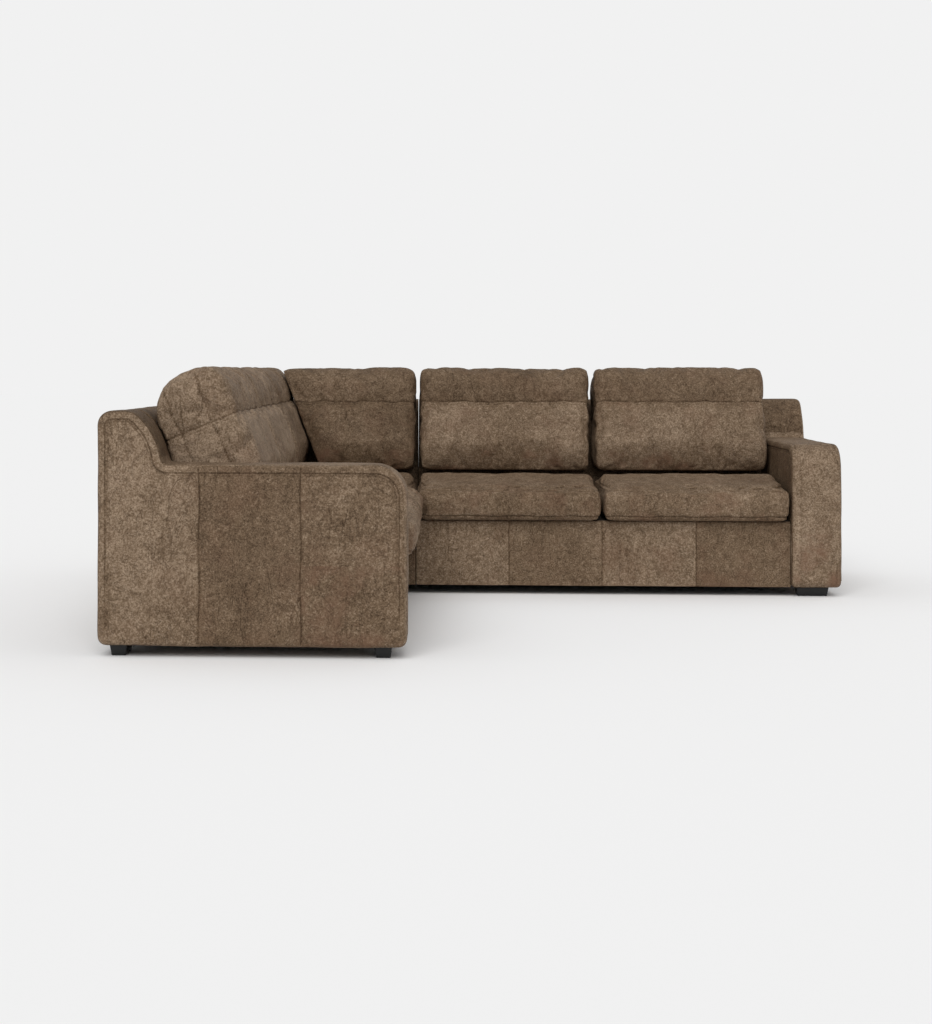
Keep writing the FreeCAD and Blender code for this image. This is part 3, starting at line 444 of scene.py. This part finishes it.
arm = {
    "x0": 1.1302, "x1": 1.325, "front": 0.970, "top": 0.603, "topRound": 0.100,
    "hem": 0.028, "foot": 0.036, "wing": 0.201, "notch": 0.020, "crest": 0.112,
    "wingBow": 0.018, "backTop": 0.770, "backRound": 0.045, "edge": 0.030, "seamInset": 0.024,
    "panelSeams": (0.321, 0.639), "frontSeam": 0.033, "topSeams": 0.022,
    "depthCuts": (0.08, 0.16, 0.24, 0.40, 0.48, 0.56, 0.72, 0.80, 0.88),
    "heightCuts": (0.09, 0.17, 0.25, 0.33, 0.41, 0.49, 0.56, 0.65, 0.72),
    "widthCuts": (0.07, 0.125), "uneven": 0.0022, "seamDepth": 0.0035,
    "hides": {  # tone, place on the hide and redness
        "frontFoot": (0.20, 0.31, 1.0), "front": (0.20, 0.31, 0.25),
        "top": (0.10, 0.57, 0.1), "rear": (-0.18, 0.44, 0.3), "inside": (-0.08, 0.83, 0.3),
        "outsideRear": (0.13, 0.12, 0.15), "outsideMiddle": (-0.09, 0.24, 0.3),
        "outsideFrontFoot": (-0.04, 0.71, 0.9), "outsideFront": (-0.04, 0.71, 0.25),
    },
}


def armProfile():
    a = arm
    points = [(a["hem"], a["foot"])]
    points += arcPoints((a["front"] - a["hem"], a["foot"] + a["hem"]), a["hem"], -90, 0, 4)
    points += arcPoints((a["front"] - a["topRound"], a["top"] - a["topRound"]), a["topRound"], 0, 90, 8)
    points += arcPoints((a["wing"] + a["notch"], a["top"] + a["notch"]), a["notch"], -90, -180, 3)
    for part in (0.2, 0.4, 0.6, 0.8):  # the wing's front edge bows out
        depth = a["wing"] + (a["crest"] - a["wing"]) * part
        height = a["top"] + a["notch"] + (a["backTop"] - a["top"] - a["notch"]) * part
        bow = a["wingBow"] * 4 * part * (1 - part)
        points.append((depth + bow * 0.86, height + bow * 0.51))
    points.append((a["crest"], a["backTop"]))
    points += arcPoints((a["backRound"], a["backTop"] - a["backRound"]), a["backRound"], 90, 180, 5)
    points += arcPoints((a["hem"], a["foot"] + a["hem"]), a["hem"], 180, 270, 4)[:-1]
    return points


def makeArm():
    a = arm
    piece = profileBlock("rightArm", armProfile(), a["x0"], a["x1"])
    low, high = a["x0"] + 0.0005, a["x1"] - 0.0005
    bevelEdges(piece, lambda p, q: (p.x < low and q.x < low) or (p.x > high and q.x > high), a["edge"], 5)
    editMode(True)
    for side, plane in ((1, high), (-1, low)):  # the sewn line between the side panel and the band
        for thickness in (a["seamInset"] - 0.006, 0.0026, 0.0026):
            pick(piece, "FACE", lambda c, n: n.x * side > 0.999 and abs(c.x - plane) < 0.002)
            bpy.ops.mesh.inset(thickness=thickness, depth=0)
    cutAt(piece, 1, [half - depth for seam in a["panelSeams"] for depth in around(seam)])
    cutAt(piece, 1, [half - depth for depth in a["depthCuts"]])
    cutAt(piece, 2, a["heightCuts"])
    cutAt(piece, 0, [a["x0"] + width for width in a["widthCuts"]])
    editMode(False)
    return piece


armEdge = armProfile()


def edgeDistance(depth, height):
    # Distance from a point to the arm's outline
    spot = Vector((depth, height))
    nearest = 1.0
    for index, start in enumerate(armEdge):
        first = Vector(start)
        line = Vector(armEdge[(index + 1) % len(armEdge)]) - first
        part = min(max((spot - first).dot(line) / max(line.length_squared, 1e-9), 0.0), 1.0)
        nearest = min(nearest, (spot - first - line * part).length)
    return nearest


def armSeam(place, normal):
    # Lines between the three hides of a side, and the ring where the band starts
    a = arm
    depth = half - place.y
    lines = [0.0]
    if abs(normal.x) > 0.8:
        for seam in a["panelSeams"]:
            lines.append(groove(depth - seam - 0.002 * math.sin(place.z * 23 + seam * 9)))
        if place.z > 0.09:
            inside = edgeDistance(depth, place.z)
            lines.append(groove(inside - a["seamInset"] - 0.002, 0.0034))
            lines.append(groove(inside - a["seamInset"] - 0.010, 0.0026) * 0.6)
    if place.y < half - a["front"] + 0.05 and place.z < a["top"] - 0.08:
        lines.append(groove(place.x - a["x0"] - a["frontSeam"], 0.0032))
    if place.z > a["top"] - 0.02 and depth > a["wing"] and abs(normal.z) > 0.7:
        lines.append(groove(place.x - (a["x0"] + a["topSeams"]), 0.0032))
        lines.append(groove(place.x - (a["x1"] - a["topSeams"]), 0.0032))
    return max(lines)


def armHide(place, normal):
    a = arm
    depth = half - place.y
    if normal.y < -0.5 and depth > a["front"] - 0.1:
        panel = "frontFoot" if place.z < 0.25 else "front"
    elif abs(normal.x) < 0.6:
        panel = "top" if depth > a["wing"] else "rear"
    elif place.x <= (a["x0"] + a["x1"]) / 2:
        panel = "inside"
    elif depth < a["panelSeams"][0]:
        panel = "outsideRear"
    elif depth < a["panelSeams"][1]:
        panel = "outsideMiddle"
    else:
        panel = "outsideFrontFoot" if place.z < 0.3 else "outsideFront"
    return a["hides"][panel]


rightArm = finishPiece(makeArm(), leather, 2)
roughen(rightArm, arm["uneven"], 6.0, 3.1)
sew(rightArm, armSeam, arm["seamDepth"])
paint(rightArm, armHide)
registerPair(rightArm, twinOf(rightArm, "leftArm"), "leather", "_arm_cover", "_arm_padding")
print("arms made")

back = {
    "x0": -0.3533, "x1": 1.1295, "foot": 0.038, "skin": 0.0032, "tuck": 0.302, "pitch": 0.045,
    "rearRound": (0.045, 0.724, 0.0445),
    "crest": ((0.062, 0.7685), (0.085, 0.7688), (0.104, 0.7680), (0.116, 0.7645), (0.130, 0.7545), (0.147, 0.7375)),
    "seams": (0.0173, 0.388, 0.7589), "topSeam": 0.100, "rearSeam": 0.705,
    "tones": (-0.05, 0.04, -0.02, -0.07), "crestDarker": 0.06, "uneven": 0.0012,
}


def backProfile():
    # From the foot of the rear up over the crest and down the rake to the deck
    points = [(0.0005, back["foot"] + 0.09 * step) for step in range(8)]
    depth, height, radius = back["rearRound"]
    points += arcPoints((depth, height), radius, 180, 90, 6)
    points += back["crest"]
    height = 0.70
    while height > back["tuck"]:
        points.append((rakeDepth(height) - 0.0006, height))
        height -= 0.04
    points.append((rakeDepth(back["tuck"]) - 0.0006, back["tuck"]))
    return points


def backStrip(name, x0, x1):
    piece = profileRing(name, backProfile(), x0, "NOTHING")
    editMode(True)
    pick(piece, "EDGE", lambda p, q: abs(p.z - q.z) + abs(p.y - q.y) > 0.2)  # the closing edge
    bpy.ops.mesh.delete(type="EDGE")
    extrudeAlong(x1 - x0)
    count = int((x1 - x0) / back["pitch"])
    cutAt(piece, 0, [x0 + (x1 - x0) * step / count for step in range(1, count)])
    turnOut()
    editMode(False)
    return piece


def panelAt(place):
    return sum(place.x > seam for seam in back["seams"])


def backSeam(place, normal):
    depth = half - place.y
    lines = [groove(place.x - seam, 0.003) for seam in back["seams"]]
    if place.z > 0.75:
        lines.append(groove(depth - back["topSeam"], 0.003))
    if depth < 0.02:
        lines.append(groove(place.z - back["rearSeam"], 0.003))
    return max(lines)


def backHide(place, normal):
    panel = panelAt(place)
    tone = back["tones"][panel] - (back["crestDarker"] if place.z > 0.70 else 0.0)
    return tone, 0.13 + 0.19 * panel, 0.35


def thicken(piece, thickness):
    only(piece)
    modifier = piece.modifiers.new("skin", "SOLIDIFY")
    modifier.thickness = thickness
    modifier.offset = -1
    bpy.ops.object.modifier_apply(modifier=modifier.name)


def faceOut(piece, centre):
    # Normals away from a point inside
    mesh = piece.data
    centre = Vector(centre)
    if sum((polygon.center - centre).dot(polygon.normal) * polygon.area for polygon in mesh.polygons) < 0:
        mesh.flip_normals()


def overFoot(place):
    return place.z > 0.06


rightBack = backStrip("rightBack", back["x0"], back["x1"])
faceOut(rightBack, (0.4, half - 0.1, 0.4))
finishPiece(rightBack, leather)
roughen(rightBack, back["uneven"], 5.0, 7.7, overFoot)
sew(rightBack, backSeam, 0.0022)
thicken(rightBack, back["skin"])
paint(rightBack, backHide)
registerPair(rightBack, twinOf(rightBack, "leftBack"), "leather", "_back_cover", "_back_padding")

cornerBack = backStrip("cornerBack", -half + 0.0005, -0.3568)
faceOut(cornerBack, (-0.7, half - 0.1, 0.4))
only(cornerBack)
editMode(True)
bpy.ops.mesh.select_all(action="SELECT")
bpy.ops.mesh.bisect(plane_co=(0, 0.0002, 0), plane_no=(1, 1, 0), clear_inner=True)  # the mitre
editMode(False)
otherLeg = twinOf(cornerBack, "otherLeg")
only(cornerBack)
otherLeg.select_set(True)
bpy.ops.object.join()
editMode(True)
bpy.ops.mesh.select_all(action="SELECT")
bpy.ops.mesh.remove_doubles(threshold=0.002)
editMode(False)
finishPiece(cornerBack, leather)
roughen(cornerBack, back["uneven"], 5.0, 4.2, overFoot)


def mitreSeam(place, normal):
    lines = [groove(place.x + place.y, 0.004)]
    if place.z > 0.75:
        lines += [groove(depth - back["topSeam"], 0.003) for depth in (half - place.y, half + place.x)]
    return max(lines)


sew(cornerBack, mitreSeam, 0.002)
thicken(cornerBack, back["skin"])
paint(cornerBack, lambda place, normal: (-0.04 if place.x + place.y > 0 else 0.02, 0.37, 0.3))
register(cornerBack, "sofa", ["corner_back_cover", "corner_back_padding"])
print("backs made")

base = {
    "front": 0.940, "foot": 0.037, "top": 0.2975, "skin": 0.0055, "roll": 0.009, "rollDeep": 0.0175,
    "pitch": 0.03, "footSeam": 0.052, "tones": (0.10, 0.02, 0.15, -0.06),
    "places": (0.15, 0.42, 0.66, 0.91), "redness": (0.3, 0.2, 0.35, 0.5),
}


def frontProfile():
    b = base
    inner = b["front"] - b["skin"]
    points = [(inner, b["foot"]), (b["front"], b["foot"])]
    points += [(b["front"], b["foot"] + 0.05 * step) for step in range(1, 5)]
    points += arcPoints((b["front"] - b["roll"], b["top"] - b["roll"]), b["roll"], 0, 180, 8)
    points += [(b["front"] - b["rollDeep"], b["top"] - 0.016), (inner, b["top"] - 0.018), (inner, 0.17)]
    return points


def frontSeam(place, normal):
    if half - place.y <= base["front"] - 0.004:
        return 0.0
    lines = [groove(place.x - seam, 0.0032) for seam in back["seams"]]
    lines.append(groove(place.x - back["seams"][1] - 0.007, 0.0026))
    lines.append(groove(place.z - base["footSeam"], 0.0026))
    return max(lines)


def frontHide(place, normal):
    panel = panelAt(place)
    return base["tones"][panel], base["places"][panel], base["redness"][panel]


def makeFront(name, x0, x1):
    piece = profileBlock(name, frontProfile(), x0, x1)
    editMode(True)
    count = int((x1 - x0) / base["pitch"])
    cutAt(piece, 0, [x0 + (x1 - x0) * step / count for step in range(1, count)])
    cutAt(piece, 0, [x for seam in back["seams"] for x in around(seam, 0.0035) if x0 < x < x1])
    cutAt(piece, 0, [x0 + 0.001, x0 + 0.004, x1 - 0.004, x1 - 0.001])  # keep the ends as the rest rounds off
    cutAt(piece, 2, [base["foot"] + 0.001, base["foot"] + 0.004])
    editMode(False)
    return finishPiece(piece, leather)


rightFront = makeFront("rightSeatFront", back["x0"], back["x1"])
roughen(rightFront, 0.0011, 7.0, 9.3, lambda place: half - place.y > 0.930)
sew(rightFront, frontSeam, 0.002)
paint(rightFront, frontHide)
registerPair(rightFront, twinOf(rightFront, "leftSeatFront"), "leather", "_seat_front_cover")


def boxOf(nodeName):
    corners = [Vector(corner) for corner in frame["nodes"][nodeName].bound_box]
    return [Vector([choose(corner[axis] for corner in corners) for axis in range(3)]) for choose in (min, max)]


def boxBetween(low, high):
    bpy.ops.mesh.primitive_cube_add(size=1, location=(low + high) / 2, scale=high - low)
    piece = bpy.context.object
    only(piece)
    bpy.ops.object.transform_apply(location=True, rotation=True, scale=True)
    return piece


def keepInside(piece, low, high):
    for vertex in piece.data.vertices:
        for axis in range(3):
            vertex.co[axis] = min(max(vertex.co[axis], low[axis]), high[axis])


def softBoard(name, low, high, uneven, edge):
    # A flat padded piece with soft edges, uneven inside its box
    low, high = Vector(low), Vector(high)
    piece = boxBetween(low, high)
    piece.name = name
    bevelEdges(piece, lambda p, q: True, edge, 2)
    editMode(True)
    for axis in (0, 1):
        cutAt(piece, axis, [low[axis] + (high[axis] - low[axis]) * step / 16 for step in range(1, 16)])
    editMode(False)
    roughen(piece, -uneven, 4.0, 2.2)
    keepInside(piece, low, high)
    return piece


def joinPieces(name, pieces):
    only(pieces[0])
    for piece in pieces[1:]:
        piece.select_set(True)
    bpy.ops.object.join()
    pieces[0].name = name
    return pieces[0]


deckSoft, deckFill = (0.0012, 0.003), 0.5  # unevenness and edge; share of stuffing
for side in ("right", "left"):
    deck = softBoard(side + "Deck", *boxOf(side + "_seat_deck"), *deckSoft)
    finishPiece(deck, slotLooks["deck_cloth"], 0)
    register(deck, "sofa", [side + "_seat_deck"])
post = 0.391  # where the corner's deck is notched for its inner post
low, high = boxOf("corner_seat_deck")
deck = joinPieces("cornerDeck", [
    softBoard("deckRear", (low.x, post, low.z), high, *deckSoft),
    softBoard("deckSide", low, (-post, post - 0.0003, high.z), *deckSoft),
])
finishPiece(deck, slotLooks["deck_cloth"], 0)
register(deck, "sofa", ["corner_seat_deck"])

coverSoft, coverInner = (0.0003, 0.002), 0.3852
low, high = boxOf("corner_front_cover")
cover = joinPieces("cornerInnerCover", [
    softBoard("coverRear", (low.x, coverInner, low.z), high, *coverSoft),
    softBoard("coverSide", low, (-coverInner, coverInner - 0.0003, high.z), *coverSoft),
])
finishPiece(cover, leather, 0)
paint(cover, lambda place, normal: (-0.04, 0.53, 0.3))
register(cover, "sofa", ["corner_front_cover"])

for side in ("right", "left", "corner"):
    low, high = boxOf(side + "_dust_cover")
    size = high - low
    bpy.ops.mesh.primitive_grid_add(x_subdivisions=30, y_subdivisions=30, size=1, location=(low + high) / 2)
    dust = bpy.context.object
    dust.name = side + "DustCover"
    dust.scale = (size.x, size.y, 1)
    only(dust)
    bpy.ops.object.transform_apply(location=True, rotation=True, scale=True)
    roughen(dust, 0.0006, 5.0, 6.6)
    finishPiece(dust, slotLooks["dust_cloth"], 0)
    register(dust, "sofa", [side + "_dust_cover"])
print("bases made")

feet = {"taper": 0.006, "round": 0.003, "split": 1.0}


def makeFoot(spots, taper):
    # A block over the places given, narrower at the floor by the taper
    low = Vector([min(spot[axis] for spot in spots) for axis in range(3)])
    high = Vector([max(spot[axis] for spot in spots) for axis in range(3)])
    middle = (low + high) / 2
    block = boxBetween(low, high)
    for vertex in block.data.vertices:
        if vertex.co.z < middle.z:
            vertex.co.x -= math.copysign(taper, vertex.co.x - middle.x)
            vertex.co.y -= math.copysign(taper, vertex.co.y - middle.y)
    bevelEdges(block, lambda p, q: True, feet["round"], 3)
    return block


footPlaces = [vertex.co.copy() for vertex in frame["nodes"]["right_feet"].data.vertices]
blocks = []
for underArm, taper in ((True, feet["taper"]), (False, 0)):  # the feet, and the supports at the joint
    for near in (True, False):
        blocks.append(makeFoot([spot for spot in footPlaces
                                if (spot.x > armX) == underArm and (spot.y < feet["split"]) == near], taper))
rightFeet = finishPiece(joinPieces("rightFeet", blocks), slotLooks["feet"], 0)
registerPair(rightFeet, twinOf(rightFeet, "leftFeet"), "feet", "_feet")
print("feet made")

cushion = {
    "seatLow": 0.2983, "seatTop": 0.4723, "backLow": 0.4726, "fill": 0.92,
    "voxel": 0.010, "swell": 0.0045, "pucker": 0.0012, "seamDepth": 0.0045,
    "seatSeams": (0.430, 0.418, 0.316),  # heights
    "backSeam": (0.457, 0.780),  # depth and height where the upper panel starts
    "endSeams": (0.445, 0.325),  # depths at the cushion's foot
    "most": {"seat": 0.012, "back": 0.015},  # how far the stuffing may push
    "pressure": {"seat": 2.2, "back": 3.2},
    "frames": 18,
}


def beltPoints(rolls, inset):
    # Tangent lines and arcs round rolls (depth, height, radius), from the front foot
    # to the rear and over the top
    centres = [Vector((-depth, height)) for depth, height, radius in rolls]
    radii = [radius - inset for depth, height, radius in rolls]
    normals = []
    for index, centre in enumerate(centres):
        after = (index + 1) % len(rolls)
        step = centres[after] - centre
        tilt = (radii[index] - radii[after]) / step.length
        step.normalize()
        normals.append(step * tilt + Vector((step.y, -step.x)) * math.sqrt(1 - tilt * tilt))
    points = []
    count = 5
    for index, centre in enumerate(centres):
        first = math.atan2(normals[index - 1].y, normals[index - 1].x)
        last = math.atan2(normals[index].y, normals[index].x)
        if last < first:
            last += 2 * math.pi
        for step in range(count + 1):
            angle = first + (last - first) * step / count
            spot = centre + radii[index] * Vector((math.cos(angle), math.sin(angle)))
            points.append((-spot.x, spot.y))
    return points


def backRolls():
    # Foot, heel on the rake, shoulder, top and belly
    heel = cushion["backLow"] + 0.044
    return [(0.466, heel - 0.014, 0.030), (rakeDepth(heel) + 0.047 / rakeCos, heel, 0.044),
            (rakeDepth(0.767) + 0.123 / rakeCos, 0.767, 0.12), (0.335, 0.861, 0.05), (0.413, 0.56, 0.09)]


def seatRolls(front):
    # Level below, crowned above, bowed in front
    low = cushion["seatLow"] + 0.040
    return [(front - 0.040, low, 0.040), (0.3743, low, 0.040), (0.3843, 0.388, 0.050),
            (0.66, cushion["seatTop"] - 0.052, 0.052), (front - 0.036, 0.398, 0.036)]


def blockFrom(name, rolls, x0, x1):
    # Rings of points, drawn in at both ends, with a skin of quads
    ends = [(0.0, 0.014), (0.006, 0.006), (0.028, 0.0)]
    sections = [(x0 + offset, inset) for offset, inset in ends]
    sections += [(x1 - offset, inset) for offset, inset in reversed(ends)]
    rings = []
    for x, inset in sections:
        rings.append([(x, half - depth, height) for depth, height in beltPoints(rolls, inset)])
    count = len(rings[0])
    vertices = [spot for ring in rings for spot in ring]
    faces = [tuple(range(count)), tuple(reversed(range(count * (len(rings) - 1), count * len(rings))))]
    for ring in range(len(rings) - 1):
        first = ring * count
        for index in range(count):
            after = (index + 1) % count
            faces.append((first + index, first + count + index, first + count + after, first + after))
    mesh = bpy.data.meshes.new(name)
    mesh.from_pydata(vertices, [], faces)
    piece = bpy.data.objects.new(name, mesh)
    bpy.context.scene.collection.objects.link(piece)
    only(piece)
    editMode(True)
    turnOut()
    editMode(False)
    return piece


def trimBy(piece, spot, normal):
    only(piece)
    editMode(True)
    bpy.ops.mesh.select_all(action="SELECT")
    bpy.ops.mesh.bisect(plane_co=spot, plane_no=normal, use_fill=True, clear_outer=True)
    editMode(False)


def remesh(piece, size):
    only(piece)
    modifier = piece.modifiers.new("remesh", "REMESH")
    modifier.mode = "VOXEL"
    modifier.voxel_size = size
    bpy.ops.object.modifier_apply(modifier=modifier.name)


def stuff(piece, hold, most, pressure):
    # Let the case swell between its seams, as the filling presses on it
    scene = bpy.context.scene
    group = piece.vertex_groups.new(name="hold")
    start = [vertex.co.copy() for vertex in piece.data.vertices]
    normals = [vertex.normal.copy() for vertex in piece.data.vertices]
    for index, spot in enumerate(start):
        weight = hold(spot, normals[index])
        if weight > 0:
            group.add([index], weight, "REPLACE")
    modifier = piece.modifiers.new("cloth", "CLOTH")
    settings = modifier.settings
    settings.quality = 4
    settings.mass = 0.25
    settings.tension_stiffness = settings.compression_stiffness = 12
    settings.shear_stiffness = 6
    settings.bending_stiffness = 0.4
    settings.use_pressure = True
    settings.uniform_pressure_force = pressure
    settings.vertex_group_mass = "hold"
    settings.pin_stiffness = 0.8
    settings.shrink_min = -0.035
    settings.effector_weights.gravity = 0
    modifier.collision_settings.use_collision = False
    modifier.collision_settings.use_self_collision = False
    for number in range(1, cushion["frames"] + 1):
        scene.frame_set(number)
    only(piece)
    bpy.ops.object.modifier_apply(modifier=modifier.name)
    scene.frame_set(1)
    for vertex, spot in zip(piece.data.vertices, start):
        move = vertex.co - spot
        if move.length > most:
            vertex.co = spot + move * (most / move.length)
    piece.vertex_groups.clear()


def fitBox(piece, low, high):
    spots = [vertex.co for vertex in piece.data.vertices]
    for axis in range(3):
        least = min(spot[axis] for spot in spots)
        most = max(spot[axis] for spot in spots)
        gain = (high[axis] - low[axis]) / (most - least)
        for spot in spots:
            spot[axis] = low[axis] + (spot[axis] - least) * gain


def wave(value, size=0.003):
    return size * (math.sin(value * 31) + 0.6 * math.sin(value * 73 + 1))


def overSeam(place):
    # How far a place of a back cushion lies above its cross seam
    depth, height = cushion["backSeam"]
    return (place.z - height) * rakeCos + (depth - (half - place.y)) * rakeSin


def seatSeam(place, normal):
    if abs(normal.z) > 0.86:
        return 0.0
    top, second, foot = cushion["seatSeams"]
    return max(groove(place.z - top - wave(place.x, 0.002)),
               groove(place.z - second - wave(place.x, 0.002), 0.0026) * 0.6,
               groove(place.z - foot - wave(place.x, 0.0015)))


def restSeam(place, x0, x1):
    up = overSeam(place) - wave(place.x, 0.0025)
    lines = [groove(up), groove(up + 0.011, 0.0026) * 0.6]
    if min(abs(place.x - x0), abs(place.x - x1)) < 0.04:
        lean = half - place.y + (place.z - cushion["backLow"]) * rakeTan
        lines += [groove(lean - depth - wave(place.z, 0.003)) for depth in cushion["endSeams"]]
    return max(lines)


def makeCushion(name, rolls, x0, x1, kind, seed, tones, trims=()):
    piece = blockFrom(name, rolls, x0, x1)
    for spot, normal in trims:
        trimBy(piece, spot, normal)
    corners = [vertex.co.copy() for vertex in piece.data.vertices]
    low = [min(spot[axis] for spot in corners) for axis in range(3)]
    high = [max(spot[axis] for spot in corners) for axis in range(3)]
    remesh(piece, cushion["voxel"])
    seam = seatSeam if kind == "seat" else lambda place, normal: restSeam(place, x0, x1)

    def hold(place, normal):
        if place.z < low[2] + 0.004:
            return 1.0
        return 0.9 if seam(place, normal) > 0.1 else 0.0

    def overFloor(place):
        return place.z > low[2] + 0.012

    def cushionHide(place, normal):
        if kind == "seat":
            if place.z > cushion["seatSeams"][0] or normal.z > 0.8:
                return tones[0], seed * 0.113 % 1, 0.3
            return tones[1], seed * 0.271 % 1, 0.5
        if overSeam(place) > 0:
            return tones[1], seed * 0.371 % 1, 0.2
        return tones[0], seed * 0.113 % 1, 1.0 if place.z < 0.56 else 0.35

    roughen(piece, cushion["swell"], 8.0, seed, overFloor)
    stuff(piece, hold, cushion["most"][kind], cushion["pressure"][kind])
    fitBox(piece, low, high)
    finishPiece(piece, leather)
    roughen(piece, cushion["pucker"], 34.0, seed * 2, overFloor)
    sew(piece, seam, cushion["seamDepth"])
    keepInside(piece, low, high)
    for vertex in piece.data.vertices:
        place = vertex.co
        if kind == "back":  # off the raked face
            place.y = min(place.y, half - rakeDepth(place.z) - 0.0022)
        for spot, normal in trims:
            over = (place - Vector(spot)).dot(Vector(normal).normalized())
            if over > 0:
                vertex.co = place - Vector(normal).normalized() * over
    paint(piece, cushionHide)
    return piece


def layCushion(piece, name):
    # A loose cushion rides its own body and stands for a case and a foam core
    register(piece, name + "_cushion", [name + "_cushion", name + "_core"])


# The left run's copy carries painted light, its tones raised by the given amount
def layPair(piece, where, kind, paintedLight):
    other = twinOf(piece, "left" + where.capitalize() + kind.capitalize() + "Cushion", paintedLight)
    layCushion(piece, "right_%s_%s" % (where, kind))
    layCushion(other, "left_%s_%s" % (where, kind))


places = {  # ends along the run, seed and tones of each place's seat and back cushion
    "inner": {"seat": (-0.3535, 0.386, 1.7, (0.02, 0.02)), "back": (-0.351, 0.3835, 5.3, (0.12, -0.06)),
              "trims": [((-0.3535, half - 0.970, 0.38), (-1, -1, 0))]},
    "outer": {"seat": (0.389, 1.1285, 2.9, (0.07, 0.07)), "back": (0.3915, 1.126, 8.1, (0.12, -0.03)),
              "trims": []},
}
seatFront = 1.002
leftRunPaintedLight = {"seat": 0.14, "back": 0.20}  # painted light: how much lighter the left run's copies are painted
for where, settings in places.items():
    x0, x1, seed, tones = settings["seat"]
    seat = makeCushion("right" + where.capitalize() + "SeatCushion", seatRolls(seatFront), x0, x1,
                       "seat", seed, tones, settings["trims"])
    layPair(seat, where, "seat", leftRunPaintedLight["seat"])
    x0, x1, seed, tones = settings["back"]
    rest = makeCushion("right" + where.capitalize() + "BackCushion", backRolls(), x0, x1, "back", seed, tones)
    layPair(rest, where, "back", leftRunPaintedLight["back"])
    print(where, "cushions made")

cornerPlace = {
    "seat": (-0.9907, -0.3568), "seatFront": 0.9665,
    "leftEnd": -1.172, "rearEnd": -0.9475, "joint": -0.359, "endTrim": (-rakeCos, 0, -rakeSin),
}
cornerSeat = makeCushion("cornerSeatCushion", seatRolls(cornerPlace["seatFront"]), *cornerPlace["seat"],
                         "seat", 3.3, (-0.02, 0.0))
layCushion(cornerSeat, "corner_seat")
print("corner seat made")

side = makeCushion("cornerSide", backRolls(), cornerPlace["leftEnd"], cornerPlace["joint"], "back",
                   6.1, (0.02, -0.05), [((cornerPlace["leftEnd"], 0, 0.737), cornerPlace["endTrim"])])
# Painted light: the left leg's copy is painted lighter by 0.12
cornerLeft = twinOf(side, "cornerLeftBackCushion", 0.12)
bpy.data.objects.remove(side)
layCushion(cornerLeft, "corner_left_back")
# Painted shade: this corner cushion's tones are set darker for the shade in the corner
cornerRear = makeCushion("cornerBackCushion", backRolls(), cornerPlace["rearEnd"], cornerPlace["joint"], "back",
                         9.7, (-0.12, -0.12), [((cornerPlace["rearEnd"], 0, 0.911), cornerPlace["endTrim"])])
layCushion(cornerRear, "corner_back")
print("corner backs made")

# Pale studio: floor, soft sun and a backdrop that only the camera sees
studio = {
    "floor": 0.91, "backdrop": 0.88, "ambient": 0.60,
    "sun": 1.75, "sunTurn": (0.85, -0.10, 0.0), "softness": 0.8,
}
bpy.ops.mesh.primitive_plane_add(size=120, location=(0, 0, 0))
ground = bpy.context.object
ground.name = "paleFloor"
groundLook, tree, shader = newTree("paleFloor")
shader.inputs["Base Color"].default_value = (studio["floor"], studio["floor"], studio["floor"], 1)
shader.inputs["Roughness"].default_value = 1.0
shader.inputs["Specular IOR Level"].default_value = 0.0
ground.data.materials.append(groundLook)

bpy.ops.object.light_add(type="SUN", location=(-2, -4, 6), rotation=studio["sunTurn"])
sun = bpy.context.object
sun.data.energy = studio["sun"]
sun.data.angle = studio["softness"]
world = bpy.data.worlds.new("studio")
bpy.context.scene.world = world
world.use_nodes = True
sky = world.node_tree
glow = sky.nodes["Background"]
glow.inputs["Color"].default_value = (1, 1, 1, 1)
glow.inputs["Strength"].default_value = studio["ambient"]
pale = (studio["backdrop"], studio["backdrop"], studio["backdrop"], 1)
backdrop = node(sky, "ShaderNodeBackground", Color=pale, Strength=1.0)
rays = sky.nodes.new("ShaderNodeLightPath")
blendShader = sky.nodes.new("ShaderNodeMixShader")
link(sky, rays.outputs["Is Camera Ray"], blendShader.inputs["Fac"])
link(sky, glow.outputs[0], blendShader.inputs[1])
link(sky, backdrop.outputs[0], blendShader.inputs[2])
link(sky, blendShader.outputs[0], sky.nodes["World Output"].inputs["Surface"])
bpy.context.scene.view_settings.view_transform = "Standard"
